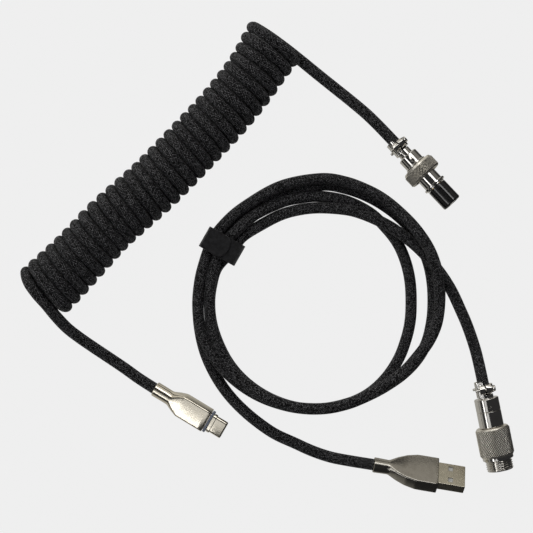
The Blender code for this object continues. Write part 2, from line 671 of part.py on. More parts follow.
def usb_c_shell(steel, parent):
    width, height = USB_C_SHELL
    start, end = USB_C_SHELL_SPAN
    low, high = USB_C_FLANGE_SPAN
    flange_wide, flange_high = USB_C_FLANGE
    wall, mouth_wall = 2 * USB_C_WALL, 2 * USB_C_MOUTH_WALL
    inner = (width - wall, height - wall, (height - wall) / 2)
    mouth = (width - mouth_wall, height - mouth_wall, (height - mouth_wall) / 2)
    rings = [rounded_ring(width, height, height / 2, start),
             rounded_ring(width, height, height / 2, low),
             rounded_ring(flange_wide, flange_high, flange_high / 2, low + 0.01),
             rounded_ring(flange_wide, flange_high, flange_high / 2, high),
             rounded_ring(width, height, height / 2, high + 0.01),
             rounded_ring(width, height, height / 2, end - 0.5),
             rounded_ring(width - 0.4, height - 0.4, height / 2 - 0.2, end),
             rounded_ring(*mouth, end), rounded_ring(*mouth, end - 0.4),
             rounded_ring(*inner, end - 0.5), rounded_ring(*inner, start)]
    skinned("usb_c_shell", rings, steel, parent, capped=False)


def usb_c_contact_row(name, height, gold, parent):
    """A comb: contact fingers joined by the strip that carries them."""
    start = USB_C_FLANGE_SPAN[1]
    comb = box(name, (-3.2, height - 0.1, start), (3.2, height + 0.1, start + 0.8), gold, parent)
    for k in range(6):
        x = (k - 2.5) * 1.0
        finger = box(f"{name}_finger_{k}", (x - 0.22, height - 0.1, start + 0.4),
                     (x + 0.22, height + 0.1, start + 4.2), gold, parent, helper=True)
        boolean(comb, finger, "UNION")


def usb_c_band(plastic, parent):
    low, high = USB_C_BAND_SPAN
    hole_wide, hole_high = USB_C_CAVITY
    rings = [rounded_ring(*USB_C_BAND, 1.4, low), rounded_ring(*USB_C_BAND, 1.4, high),
             rounded_ring(hole_wide, hole_high, hole_high / 2, high),
             rounded_ring(hole_wide, hole_high, hole_high / 2, low)]
    skinned("usb_c_band", rings, plastic, parent, capped=False)


def usb_c_plug(looks, parent):
    rings = housing_rings(USB_C_COLLAR_RADIUS, USB_C_BODY, USB_C_LENGTH, 0.3, 0.66)
    housing("usb_c_housing", rings, USB_C_CAVITY, USB_C_CAVITY_FLOOR, USB_C_LENGTH,
            looks["nickel"], parent)
    usb_c_band(looks["grey"], parent)
    usb_c_shell(looks["nickel"], parent)
    start = USB_C_SHELL_SPAN[0]
    box("usb_c_insulator", (-3.4, -0.55, start + 1), (3.4, 0.55, USB_C_FLANGE_SPAN[1] - 0.5),
        looks["black"], parent)
    usb_c_contact_row("usb_c_contacts_upper", 0.6, looks["gold"], parent)
    usb_c_contact_row("usb_c_contacts_lower", -0.6, looks["gold"], parent)
    box("usb_c_board", (-3.6, -0.4, USB_C_CAVITY_FLOOR + 0.5), (3.6, 0.4, start - 0.3),
        looks["board"], parent)


# ---------------------------------------------------------------- fabric tie

def tie_wrap(fabric, parent):
    width, height = TIE_CAVITY
    wall = 2 * TIE_WALL
    middle = TIE_FLOOR + TIE_WALL + height / 2
    rings = []
    for at, extra in ((-1, wall), (1, wall), (1, 0), (-1, 0)):
        ring = rounded_ring(width + extra, height + extra, 2.2 + extra / 2, at * TIE_LENGTH / 2)
        rings.append([(x, y + middle, z) for x, y, z in ring])
    skinned("tie_wrap", rings, fabric, parent, capped=False)


def tie_tab(fabric, parent):
    """The tape's loose end: a strip with a round tip, turning about its outer edge."""
    tip, root = TAB_SPAN
    top = TIE_FLOOR + 2 * TIE_WALL + TIE_CAVITY[1] + GAP
    hinge = empty("tie_tab_hinge", parent, (root, top, 0))
    half = TIE_LENGTH / 2
    round_reach = 3.5
    outline = [(0, -half), (0, half)]
    for k in range(9):
        angle = math.pi / 2 - math.pi * k / 8
        outline.append((tip - root + round_reach - round_reach * math.cos(angle),
                        half * math.sin(angle)))
    rings = [[(x, y, z) for x, z in outline] for y in (0, TAB_THICKNESS)]
    skinned("tie_tab", rings, fabric, hinge)


# ---------------------------------------------------------------- the set

def looks_of_the_set():
    return {
        "cord": material("black_braid", (0.012, 0.012, 0.014), 0.85, 0.0),
        "fabric": material("black_tape", (0.015, 0.015, 0.017), 0.95, 0.0),
        "steel": material("nickel_plate", (0.62, 0.60, 0.56), 0.22, 1.0),
        "nickel": material("bright_nickel", (0.74, 0.71, 0.64), 0.16, 1.0),
        "pewter": material("dark_nickel", (0.45, 0.42, 0.38), 0.26, 1.0),
        "shell": material("shell_steel", (0.52, 0.49, 0.42), 0.3, 1.0),
        "black": material("black_plastic", (0.01, 0.01, 0.011), 0.3, 0.0),
        "white": material("white_plastic", (0.75, 0.75, 0.74), 0.45, 0.0),
        "grey": material("grey_plastic", (0.16, 0.19, 0.24), 0.45, 0.0),
        "gold": material("gold_contact", (0.83, 0.62, 0.26), 0.25, 1.0),
        "wire": material("wire_insulation", (0.45, 0.06, 0.05), 0.5, 0.0),
        "board": material("circuit_board", (0.03, 0.16, 0.07), 0.5, 0.0),
    }


def coil(cord_look, parent):
    height = COIL_DIAMETER / 2
    points = [(x, y, height) for x, y in COIL_MIDLINE]
    tube("coil", points, COIL_DIAMETER, cord_look, parent, resolution=4)


def build():
    clear_scene()
    looks = looks_of_the_set()
    middle_x, middle_y = SET_MIDDLE
    root = empty("cable_set", None, (-middle_x, -middle_y, 0))
    usb_c_plug(looks, axis_empty("usb_c_axis", root, USB_C_REAR, USB_C_AHEAD, USB_C_ROLL))
    cord("usb_c_lead", USB_C_LEAD, looks["cord"], root, step=10.0)
    coil(looks["cord"], root)
    cord("plug_lead", PLUG_LEAD, looks["cord"], root, gripped_end(PLUG_REAR, PLUG_AHEAD), step=10.0)
    aviator_plug(looks, axis_empty("plug_axis", root, PLUG_REAR, PLUG_AHEAD))
    usb_a_plug(looks, axis_empty("usb_a_axis", root, USB_A_REAR, USB_A_AHEAD, USB_A_ROLL))
    cord("host_cord", HOST_ROUTE, looks["cord"], root, gripped_end(SOCKET_REAR, SOCKET_AHEAD))
    aviator_socket(looks, axis_empty("socket_axis", root, SOCKET_REAR, SOCKET_AHEAD))
    tie = axis_empty("tie_axis", root, TIE_MIDDLE, TIE_AHEAD)
    tie_wrap(looks["fabric"], tie)
    tie_tab(looks["fabric"], tie)


build()
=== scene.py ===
"""Looks of a detachable coiled keyboard cable set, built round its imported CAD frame.

Every place and length below is in millimetres in the set's own layout, as in the CAD source;
the frames made by axis_frame() and LAYOUT turn them into metres in the row frame."""

import json
from math import cos, pi, radians, sin, tau

import bmesh
import bpy
import numpy as np
from mathutils import Matrix, Vector


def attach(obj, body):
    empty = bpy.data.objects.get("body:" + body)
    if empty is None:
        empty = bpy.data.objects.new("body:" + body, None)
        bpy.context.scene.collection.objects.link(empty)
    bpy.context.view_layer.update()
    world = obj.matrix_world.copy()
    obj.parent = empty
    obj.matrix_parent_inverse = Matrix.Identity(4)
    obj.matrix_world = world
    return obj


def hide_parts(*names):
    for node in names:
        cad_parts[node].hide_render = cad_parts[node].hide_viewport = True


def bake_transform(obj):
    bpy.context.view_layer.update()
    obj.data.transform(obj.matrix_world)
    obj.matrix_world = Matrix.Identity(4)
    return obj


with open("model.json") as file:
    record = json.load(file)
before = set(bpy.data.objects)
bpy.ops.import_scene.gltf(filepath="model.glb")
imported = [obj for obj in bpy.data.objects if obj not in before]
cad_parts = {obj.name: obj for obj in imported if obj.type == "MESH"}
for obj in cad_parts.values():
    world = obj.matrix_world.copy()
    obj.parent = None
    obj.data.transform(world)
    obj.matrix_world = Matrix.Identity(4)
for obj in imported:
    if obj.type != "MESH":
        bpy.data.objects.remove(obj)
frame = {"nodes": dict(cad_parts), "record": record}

MM = 0.001
UP = Vector((0, 0, 1))
SET_MIDDLE = Vector((0.62, 5.2, 0))
LAYOUT = Matrix.Scale(MM, 4) @ Matrix.Translation(-SET_MIDDLE)

FLOOR_GLOW = 0.858

# Camera: straight above the layout's zero point
CAMERA_HEIGHT = 650.0
CAMERA_LENS = 97.9

# Cords
CORD_DIAMETER = 5.1
CORD_SIDES = 20
CORD_RING_STEP = 1.2
COLLAR_GRIP = 1.0  # how far a cord runs into a USB housing's collar
CLAMP_GRIP = 6.2  # how far a cord runs into an aviator connector's clamp

# Coil
COIL_MIDLINE = ((-97.7, -10.9), (-88.6, -2.1), (-79.6, 7.2), (-70.2, 17.4), (-60.1, 26.5),
                (-50.2, 35.2), (-40.8, 44.6), (-31.7, 54.1), (-22.6, 63.6), (-14.0, 73.6),
                (-6.0, 84.2), (3.5, 98.9))
COIL_TURNS = 29
COIL_RADIUS = 10.5
COIL_END_RADIUS = 11.5
COIL_END_WIDTHS = (0.12, 0.06)  # shares of the coil over which its ends widen
COIL_HEIGHT = 12.8
COIL_FLOOR_GAP = 0.05
COIL_POINTS_PER_TURN = 14
COIL_HEADING_REACH = 6  # how far before and behind a place its heading is taken
COIL_BLEND_INSETS = (3, 1)  # how far inside the midline's ends two points are taken

# How far the undersides of the lower turns lean down the coil, per mm from the camera's axis. It
# closes the gaps that a camera taken too near would open between them; a plain coil has 0.
COIL_LEAN = 0.031

# Connector axes: rear end and a point ahead
USB_C_REAR = (-49.7, -54.5, 3.7)
USB_C_AHEAD = (-25.9, -68.6, 6.1)
USB_C_ROLL = 15.0
USB_A_REAR = (47.4, -87.8, 8.0)
USB_A_AHEAD = (75.6, -92.5, 8.0)
USB_A_ROLL = -46.0
PLUG_REAR = (56.2, 55.9, 5.9)
PLUG_AHEAD = (81.6, 28.3, 10.6)
SOCKET_REAR = (95.7, -50.6, 7.9)
SOCKET_AHEAD = (103.6, -89.7, 7.9)
TIE_MIDDLE = (-19.7, 9.0, 0.0)
TIE_AHEAD = (-14.74, 17.68, 0.0)

# Routes of the cords, as in the CAD source
USB_C_LEAD = ((-50.2, -54.2, 3.7), (-57.1, -49.8, 3.4), (-63.3, -45.4, 3.0), (-70.4, -40.6, 3.1),
              (-77.2, -35.9, 4.4), (-83.0, -31.5, 7.2), (-87.8, -27.2, 11.0), (-92.0, -22.0, 15.5),
              (-95.9, -16.6, 18.6), (-99.9, -11.8, 20.2), (-103.7, -6.7, 18.4))
PLUG_LEAD = ((-4.6, 105.9, 5.2), (1.6, 102.4, 2.6), (8.7, 97.2, 2.6), (15.9, 91.5, 2.6),
             (23.0, 85.7, 2.6), (30.1, 80.0, 2.7), (37.3, 74.2, 3.0), (44.4, 68.1, 3.8),
             (50.1, 62.4, 4.9), (55.7, 56.4, 5.8))
HOST_ROUTE = (
    # out of the USB-A plug, up the left of the loop and over the top
    (46.9, -87.7, 8.0), (36.3, -86.3, 5.4), (28.3, -84.9, 3.6), (20.3, -82.3, 2.7),
    (12.3, -78.7, 2.6), (4.2, -75.0, 2.6), (-2.5, -70.6, 2.6), (-9.2, -65.2, 2.6),
    (-15.4, -59.0, 2.6), (-20.5, -52.3, 2.6), (-24.8, -44.7, 2.6), (-27.9, -36.8, 2.6),
    (-29.9, -27.5, 2.6), (-30.6, -17.6, 2.6), (-30.0, -8.3, 2.8), (-27.6, 0.2, 3.4),
    (-21.7, 10.3, 4.0), (-15.5, 18.1, 3.4), (-7.6, 24.8, 2.6), (6.5, 32.6, 2.6),
    (23.9, 36.3, 2.6), (35.5, 34.8, 2.6), (46.2, 30.8, 2.6), (55.6, 25.0, 2.6),
    # down the right, round the bottom and up the left
    (63.2, 18.1, 2.6), (68.6, 10.3, 2.6), (72.1, 2.0, 2.6), (73.9, -6.5, 2.6),
    (74.4, -15.9, 2.6), (73.7, -24.8, 2.8), (71.3, -34.1, 3.6), (66.9, -41.4, 5.4),
    (60.5, -47.7, 7.4), (52.5, -53.2, 7.8), (44.5, -57.4, 7.8), (36.1, -60.7, 7.8),
    (25.9, -62.9, 7.8), (14.8, -62.7, 7.8), (5.1, -60.6, 7.7), (-3.8, -57.1, 7.6),
    (-12.2, -51.8, 7.6), (-19.7, -44.8, 7.7), (-25.7, -36.0, 7.8), (-29.4, -26.4, 7.8),
    (-30.4, -17.5, 7.8), (-29.8, -8.6, 7.9), (-28.1, -0.4, 8.4),
    # second time over the top, where it lies highest
    (-24.0, 11.2, 8.8), (-17.9, 19.5, 8.3), (-8.9, 27.0, 7.6), (6.4, 35.6, 7.2),
    (23.7, 38.9, 7.0), (35.3, 37.4, 7.0), (45.9, 33.3, 7.1), (52.9, 29.1, 7.5),
    (59.2, 23.6, 9.6), (65.1, 17.2, 12.3), (70.5, 9.5, 12.9), (73.9, 2.0, 12.3),
    (76.0, -6.0, 9.7), (76.8, -14.9, 7.4), (75.6, -24.6, 7.5), (72.2, -32.5, 8.7),
    (67.2, -39.0, 10.9), (60.7, -46.0, 12.7), (52.1, -52.3, 12.9), (44.2, -56.8, 12.9),
    (35.8, -60.3, 12.9), (25.7, -62.4, 12.9), (14.7, -62.2, 12.9), (5.1, -59.7, 12.6),
    (-3.7, -55.7, 11.6), (-11.3, -50.1, 10.1), (-17.3, -42.7, 8.8), (-21.9, -33.6, 8.0),
    (-24.6, -24.6, 7.8), (-25.3, -15.7, 7.8), (-24.9, -7.8, 7.9), (-23.1, -0.2, 8.3),
    # third time, falling to the table beside the first
    (-19.4, 9.0, 8.6), (-13.3, 15.9, 7.8), (-5.6, 22.7, 6.0), (6.5, 28.6, 3.9),
    (15.0, 30.6, 2.8), (23.9, 31.3, 2.6), (35.5, 29.3, 2.6), (46.2, 24.0, 2.6),
    (52.9, 17.7, 2.6), (58.5, 10.5, 2.6), (62.1, 2.3, 2.6), (64.1, -6.5, 2.6),
    (64.6, -15.9, 2.6), (64.1, -24.8, 2.6), (62.1, -33.3, 2.6), (58.7, -41.8, 2.6),
    (52.9, -50.3, 2.6), (45.3, -57.0, 2.6), (36.4, -61.2, 2.6), (26.1, -63.4, 2.6),
    (15.0, -63.2, 2.6), (5.1, -60.5, 2.6), (-3.8, -55.9, 2.6), (-11.4, -49.8, 2.6),
    (-17.4, -42.4, 2.6), (-21.9, -33.5, 2.6), (-24.6, -24.8, 2.6), (-25.4, -15.9, 2.6),
    (-24.4, -7.8, 2.8), (-21.9, -0.2, 3.8),
    # last time, across the other turns and away to the socket
    (-15.6, 6.7, 4.6), (-10.9, 13.1, 4.4), (-2.5, 18.5, 3.0), (6.5, 23.1, 2.6),
    (15.0, 25.4, 2.7), (23.9, 26.2, 3.4), (35.3, 25.3, 5.6), (43.2, 23.1, 7.4),
    (52.5, 18.9, 7.8), (59.1, 14.7, 7.8), (65.8, 9.5, 7.8), (71.6, 3.7, 7.8),
    (76.2, -1.8, 7.6), (80.0, -7.1, 6.6), (83.2, -12.4, 5.0), (86.4, -19.0, 3.4),
    (89.0, -24.8, 2.9), (91.3, -31.0, 2.9), (93.2, -37.3, 3.6), (94.5, -43.5, 5.4),
    (95.6, -50.1, 7.9),
)

# Aviator connectors, along their axes from the clamp's rear end
CLAMP_BORE_RADIUS = 2.75
CLAMP_WALL = 1.15
CLAMP_SPAN = (1.8, 5.6)
CLAMP_GAP = 0.3  # from the middle plane to each half
CLAMP_FLAT = 2.6  # from the middle plane to the ears' outer faces
EAR_ROOT = 2.65
EAR_ROUND_AT = 3.8
CLAMP_SCREW_HEIGHT = 4.3
CLAMP_SCREW_RADIUS = 0.65
CLAMP_SCREW_TIP = -4.5
CLAMP_SCREW_PITCH = 0.42
CLAMP_SCREW_THREADS = 16
CLAMP_SCREW_SEAT = 2.9
CLAMP_SCREW_HEAD_RADIUS = 1.4
SET_SCREW_RADIUS = 0.76
SET_SCREW_HOLE_RADIUS = 0.8
CONTACT_CIRCLE_RADIUS = 2.4
PLUG_NECK = (6.3, 9.2)
PLUG_BARREL_END = 15.0
PLUG_BARREL_RADIUS = 4.62
SLEEVE_RADIUS = 4.55
SLEEVE_SPAN = (15.3, 28.0)
SLEEVE_GROOVE_RADIUS = 4.2
CLIP_SPAN = (26.5, 27.4)
CLIP_RADII = (4.4, 5.35)
CLIP_OPENING = radians(50)
INSERT_SPAN = (28.3, 38.3)
INSERT_RADIUS = 4.5
INSERT_HOLE_RADIUS = 0.95
RING_SPAN = (15.4, 21.5)
RING_RADIUS = 7.85
RING_KNURL_TEETH = 52
RING_KNURL_DEPTH = 0.34
RING_LIP = 1.5
RING_BORE_RADIUS = 4.85
RING_CAVITY_RADIUS = 5.75
SOCKET_NECK = (6.3, 7.8)
SOCKET_SEAM = 13.6
SOCKET_BARREL_END = 20.6
SOCKET_BARREL_RADIUS = 5.4
BODY_SPAN = (20.9, 40.2)
KNURL_SPAN = (21.6, 33.3)
KNURL_END = 34.0
KNURL_RADIUS = 7.65
KNURL_TEETH = 44
KNURL_DEPTH = 0.38
SHOULDER_END = 35.3
SHOULDER_RADIUS = 6.8
THREAD_RADIUS = 5.95
THREAD_DEPTH = 0.5
THREAD_PITCH = 1.0
SOCKET_BORE_RADIUS = 4.85
SOCKET_BORE_FLOOR = 25.7
SOCKET_INSERT_SPAN = (26.0, 30.5)
SOCKET_INSERT_RADIUS = 4.7
SOCKET_PIN_END = 34.8

# USB plugs, along their axes from the housing's rear end
USB_A_LENGTH = 28.7
USB_A_SHELL = (12.0, 4.5)
USB_A_SHELL_SPAN = (25.7, 40.7)
USB_A_WALL = 0.3
USB_A_HOLE_OFFSET = 3.1
USB_A_HOLE = (2.5, 2.1)
USB_A_HOLE_AT = 34.2
USB_C_LENGTH = 27.4
USB_C_SHELL = (8.34, 2.56)
USB_C_SHELL_SPAN = (24.0, 36.0)
USB_C_FLANGE = (9.3, 3.5)
USB_C_FLANGE_SPAN = (29.1, 30.5)
USB_C_BAND = (9.9, 5.9)
USB_C_BAND_SPAN = (27.7, 28.8)
USB_C_MOUTH = (8.94, 3.16, 1.5)

# Fabric tie
TIE_LENGTH = 10.0
TIE_CAVITY = (16.6, 11.3)
TIE_WALL = 0.7
TIE_FLOOR = 0.1
TAB_SPAN = (-3.4, 8.4)
TAB_THICKNESS = 0.9

# Fineness of the meshes and curves
SHARP_ANGLE = radians(35)
CURVE_POINTS_PER_SPAN = 12
CORNER_STEPS = 3
LOFT_STEPS = 6
SHELL_CORNER_POINTS = 10

# Braid of the cords
BRAID_STRANDS = 11
BRAID_PITCH = 7.5
BRAID_RELIEF = 0.25


# ---- places and curves

def axis_frame(rear, ahead, roll_degrees=0.0):
    """The matrix from a connector's own millimetres (+Z from rear to ahead) to the row frame."""
    forward = (Vector(ahead) - Vector(rear)).normalized()
    side = UP.cross(forward).normalized()
    turn = Matrix((side, forward.cross(side), forward)).transposed().to_4x4()
    roll = Matrix.Rotation(radians(roll_degrees), 4, "Z")
    return LAYOUT @ Matrix.Translation(Vector(rear)) @ turn @ roll


def in_row(points):
    """Layout millimetres as points in the row frame, in metres."""
    return (np.asarray(points, float) - np.array(SET_MIDDLE)) * MM


def catmull_rom(points):
    """A smooth curve through the points, as a dense array."""
    points = np.asarray(points, float)
    ends = np.vstack((2 * points[0] - points[1], points, 2 * points[-1] - points[-2]))
    a, b, c, d = ends[:-3], ends[1:-2], ends[2:-1], ends[3:]
    t = (np.arange(CURVE_POINTS_PER_SPAN) / CURVE_POINTS_PER_SPAN)[None, :, None]
    a, b, c, d = a[:, None], b[:, None], c[:, None], d[:, None]
    curve = 0.5 * (2 * b + (c - a) * t + (2 * a - 5 * b + 4 * c - d) * t**2
                   + (3 * b - a - 3 * c + d) * t**3)
    return np.vstack((curve.reshape(-1, points.shape[1]), points[-1]))


def path_reach(points):
    """How far along a line each of its points lies."""
    steps = np.linalg.norm(np.diff(points, axis=0), axis=1)
    return np.concatenate(([0.0], np.cumsum(steps)))


def even_steps(points, step):
    """Points at equal distances of about step along a dense line."""
    reach = path_reach(points)
    wanted = np.linspace(0, reach[-1], max(2, round(reach[-1] / step)) + 1)
    return np.stack([np.interp(wanted, reach, points[:, i]) for i in range(3)], axis=1)


def coil_path():
    """The helix, from one left bulge to another; the lead before it comes over the top."""
    middle = catmull_rom(COIL_MIDLINE)
    reach = path_reach(middle)
    first, last = pi / 2, pi / 2 + tau * COIL_TURNS
    angles = np.linspace(first, last, COIL_POINTS_PER_TURN * COIL_TURNS + 1)
    share = (angles - first) / (last - first)

    def midline(along):
        inside = np.clip(along, 0, reach[-1])
        return np.stack([np.interp(inside, reach, middle[:, i]) for i in range(2)])

    along = share * reach[-1]
    run = midline(along + COIL_HEADING_REACH) - midline(along - COIL_HEADING_REACH)
    run /= np.hypot(*run)
    place = midline(along)
    start_width, end_width = COIL_END_WIDTHS
    ends = np.exp(-((share / start_width) ** 2)) + np.exp(-(((1 - share) / end_width) ** 2))
    radius = COIL_RADIUS + (COIL_END_RADIUS - COIL_RADIUS) * np.clip(ends, 0, 1)
    below = np.minimum((place * run).sum(axis=0), 0)
    place = place + run * COIL_LEAN * below * np.clip(-np.cos(angles), 0, 1)
    across = -np.sin(angles) * radius
    x = place[0] + run[1] * across
    y = place[1] - run[0] * across
    lowest = COIL_HEIGHT - CORD_DIAMETER / 2 - COIL_FLOOR_GAP
    z = COIL_HEIGHT + np.cos(angles) * np.minimum(radius, lowest)
    return np.stack((x, y, z), axis=1)


# ---- mesh helpers

PIECES = {}  # the pieces shown so far, by body


def new_object(name, mesh, look):
    obj = bpy.data.objects.new(name, mesh)
    bpy.context.scene.collection.objects.link(obj)
    mesh.materials.append(look)
    return obj


def tidy_mesh(mesh):
    """Merges doubled points, turns the faces out and shades smooth with sharp edges."""
    bm = bmesh.new()
    bm.from_mesh(mesh)
    bmesh.ops.remove_doubles(bm, verts=bm.verts, dist=2e-7)
    bmesh.ops.delete(bm, geom=[e for e in bm.edges if not e.link_faces], context="EDGES")
    if bm.calc_volume(signed=True) < 0:
        bmesh.ops.reverse_faces(bm, faces=bm.faces)
    bm.to_mesh(mesh)
    bm.free()
    mesh.shade_smooth()
    mesh.set_sharp_from_angle(angle=SHARP_ANGLE)


def circle(angles, radius=1.0):
    return np.stack((radius * np.cos(angles), radius * np.sin(angles)), axis=1)


def skin(name, rings, look, place=None, joined=False, grooves=None):
    """A skin over rings of equally many points, with the UV map "surface": share of the way
    round, and millimetres along. Joined rings close on themselves; others get caps."""
    rings = np.asarray(rings, float)
    count, sides = rings.shape[:2]
    index = np.arange(count * sides).reshape(count, sides)
    rows = np.arange(count if joined else count - 1)
    low, high = index[rows], index[(rows + 1) % count]
    quads = np.stack((low, np.roll(low, -1, 1), np.roll(high, -1, 1), high), axis=-1)
    faces = quads.reshape(-1, 4).tolist()
    if not joined:
        faces += [index[0][::-1].tolist(), index[-1].tolist()]
    points = rings.reshape(-1, 3)
    if place is not None:
        turn = np.array(place)
        points = points @ turn[:3, :3].T + turn[:3, 3]
    mesh = bpy.data.meshes.new(name)
    mesh.from_pydata(points.tolist(), [], faces)
    centres = rings.mean(axis=1)
    step = np.linalg.norm(np.diff(rings, axis=0), axis=2).mean(axis=1)
    step = np.maximum(step, np.linalg.norm(np.diff(centres, axis=0), axis=1))
    along = np.concatenate(([0], np.cumsum(step), [np.sum(step)]))
    around = np.arange(sides + 1) / sides
    u = np.stack((around[:-1], around[1:], around[1:], around[:-1]), axis=-1)
    u = np.broadcast_to(u, (len(rows), sides, 4))
    v = np.stack((along[rows], along[rows], along[rows + 1], along[rows + 1]), axis=-1)
    v = np.broadcast_to(v[:, None], (len(rows), sides, 4))
    corners = np.stack((u, v), axis=-1).reshape(-1, 2)
    uv = mesh.uv_layers.new(name="surface")
    flat = np.zeros((len(mesh.loops), 2))
    flat[: len(corners)] = corners
    uv.data.foreach_set("uv", flat.ravel())
    if grooves is not None:
        # The knurl's groove depth; the knurled material darkens its colour with it as painted
        # shade.
        attribute = mesh.attributes.new("groove", "FLOAT", "POINT")
        attribute.data.foreach_set("value", np.ravel(grooves))
    tidy_mesh(mesh)
    return new_object(name, mesh, look)


def softened(profile, radius):
    """A closed (radius, height) outline with each corner rounded."""
    points = [Vector(p) for p in profile]
    rounded = []
    for i, corner in enumerate(points):
        before, after = points[i - 1], points[(i + 1) % len(points)]
        if min(p.x for p in (before, corner, after)) <= 0 or corner.x <= 0:
            rounded.append(corner)
            continue
        reach = min(radius, (before - corner).length * 0.45, (after - corner).length * 0.45)
        start = corner + (before - corner).normalized() * reach
        end = corner + (after - corner).normalized() * reach
        for step in range(CORNER_STEPS + 1):
            t = step / CORNER_STEPS
            rounded.append(start * (1 - t) ** 2 + corner * 2 * t * (1 - t) + end * t**2)
    return [(p.x, p.y) for p in rounded]


def turned(name, profile, look, place, sides, soften, start=0.0, turn=tau):
    """A closed (radius, height) outline turned about Z, wholly or through part of a turn."""
    outline = np.array(softened(profile, soften) if soften else profile)
    whole = turn == tau
    angles = start + turn * np.arange(sides if whole else sides + 1) / sides
    ring = circle(angles)
    heights = np.broadcast_to(outline[None, :, 1:], (len(ring), len(outline), 1))
    grid = np.concatenate((outline[None, :, :1] * ring[:, None, :], heights), axis=2)
    return weigh_normals(skin(name, grid, look, place, joined=whole))


def rounded_ring(width, height, radius, at, per_corner=6):
    """A rounded rectangle about Z at height at."""
    radius = min(radius, width / 2, height / 2)
    points = []
    for corner in range(4):
        sign_x = 1 if corner in (0, 3) else -1
        sign_y = 1 if corner in (0, 1) else -1
        for step in range(per_corner):
            angle = pi / 2 * (corner + step / (per_corner - 1))
            x = sign_x * (width / 2 - radius) + radius * cos(angle)
            y = sign_y * (height / 2 - radius) + radius * sin(angle)
            points.append((x, y, at))
    return points


def bar(name, radius, start, end, look, place, sides, soften=0.0):
    """A round bar from start to end with softened rims."""
    start, end = Vector(start), Vector(end)
    run = end - start
    turn = UP.rotation_difference(run).to_matrix().to_4x4()
    profile = ((0, 0), (radius, 0), (radius, run.length), (0, run.length))
    local = place @ Matrix.Translation(start) @ turn
    return turned(name, profile, look, local, sides, soften)


def block(name, low, high, look, place, bevel=0.0):
    bm = bmesh.new()
    bmesh.ops.create_cube(bm, size=1)
    bmesh.ops.scale(bm, vec=[b - a for a, b in zip(low, high)], verts=bm.verts)
    bmesh.ops.translate(bm, vec=[(a + b) / 2 for a, b in zip(low, high)], verts=bm.verts)
    if bevel:
        bmesh.ops.bevel(bm, geom=bm.edges[:], offset=bevel, segments=3, profile=0.5,
                        affect="EDGES")
    bmesh.ops.transform(bm, matrix=place, verts=bm.verts)
    mesh = bpy.data.meshes.new(name)
    bm.to_mesh(mesh)
    bm.free()
    tidy_mesh(mesh)
    return new_object(name, mesh, look)


def combine(obj, operation, *tools, bevel=0.0):
    """Boolean of obj with tools, which are used up, then a fine bevel on what edges it left."""
    for tool in tools:
        modifier = obj.modifiers.new(tool.name, "BOOLEAN")
        modifier.operation = operation
        modifier.object = tool
    apply_modifiers(obj)
    for tool in tools:
        bpy.data.objects.remove(tool, do_unlink=True)
    if bevel:
        modifier = obj.modifiers.new("edges", "BEVEL")
        modifier.width = bevel * MM
        modifier.segments = 2
        modifier.limit_method = "ANGLE"
        modifier.angle_limit = radians(40)
        modifier.use_clamp_overlap = True
        apply_modifiers(obj)
    obj.data.shade_smooth()
    obj.data.set_sharp_from_angle(angle=SHARP_ANGLE)
    return weigh_normals(obj)


def weigh_normals(obj):
    """Lets the large faces decide the shading, so a softened rim doesn't bend it."""
    obj.modifiers.new("normals", "WEIGHTED_NORMAL").keep_sharp = True
    apply_modifiers(obj)
    return obj


def apply_modifiers(obj):
    bpy.context.view_layer.update()
    graph = bpy.context.evaluated_depsgraph_get()
    old = obj.data
    obj.data = bpy.data.meshes.new_from_object(obj.evaluated_get(graph))
    obj.modifiers.clear()
    bpy.data.meshes.remove(old)


def show(piece, body, slot, *replaced):
    PIECES.setdefault(body, []).append(piece)
    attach(piece, body)
    if replaced:
        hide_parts(*replaced)


# ---- materials

class Nodes:
    """A material's node tree, with short calls for the nodes used here."""

    def __init__(self, name):
        self.material = bpy.data.materials.new(name)
        self.material.use_nodes = True
        self.tree = self.material.node_tree
        self.shader = self.tree.nodes["Principled BSDF"]

    def node(self, kind, **settings):
        made = self.tree.nodes.new(kind)
        for key, value in settings.items():
            setattr(made, key, value)
        return made

    def feed(self, socket, value):
        if isinstance(value, bpy.types.NodeSocket):
            self.tree.links.new(value, socket)
        else:
            socket.default_value = value

    def math(self, operation, first, second=0.0):
        made = self.node("ShaderNodeMath", operation=operation)
        for socket, value in zip(made.inputs, (first, second)):
            self.feed(socket, value)
        return made.outputs[0]

    def noise(self, scale, detail, roughness=0.5):
        made = self.node("ShaderNodeTexNoise")
        made.inputs["Scale"].default_value = scale
        made.inputs["Detail"].default_value = detail
        made.inputs["Roughness"].default_value = roughness
        self.feed(made.inputs["Vector"], self.node("ShaderNodeTexCoord").outputs["Object"])
        return made.outputs["Fac"]

    def surface(self):
        """(share of the way round, millimetres along) of a skin's UV map."""
        uv = self.node("ShaderNodeUVMap", uv_map="surface")
        split = self.node("ShaderNodeSeparateXYZ")
        self.feed(split.inputs[0], uv.outputs[0])
        return split.outputs[0], split.outputs[1]

    def ramp(self, value, *stops):
        made = self.node("ShaderNodeValToRGB")
        elements = made.color_ramp.elements
        while len(elements) < len(stops):
            elements.new(0.5)
        for element, (at, colour) in zip(elements, stops):
            element.position = at
            element.color = (*colour, 1)
        self.feed(made.inputs[0], value)
        return made.outputs[0]

    def spread(self, value, low, high, new_low, new_high):
        made = self.node("ShaderNodeMapRange")
        for socket, number in zip(made.inputs, (value, low, high, new_low, new_high)):
            self.feed(socket, number)
        return made.outputs[0]

    def bump(self, height, distance):
        made = self.node("ShaderNodeBump")
        made.inputs["Distance"].default_value = distance * MM
        self.feed(made.inputs["Height"], height)
        self.feed(self.shader.inputs["Normal"], made.outputs[0])

    def set(self, **values):
        for key, value in values.items():
            name = key.replace("_", " ")
            if isinstance(value, tuple):
                value = (*value, 1)
            self.feed(self.shader.inputs[name], value)


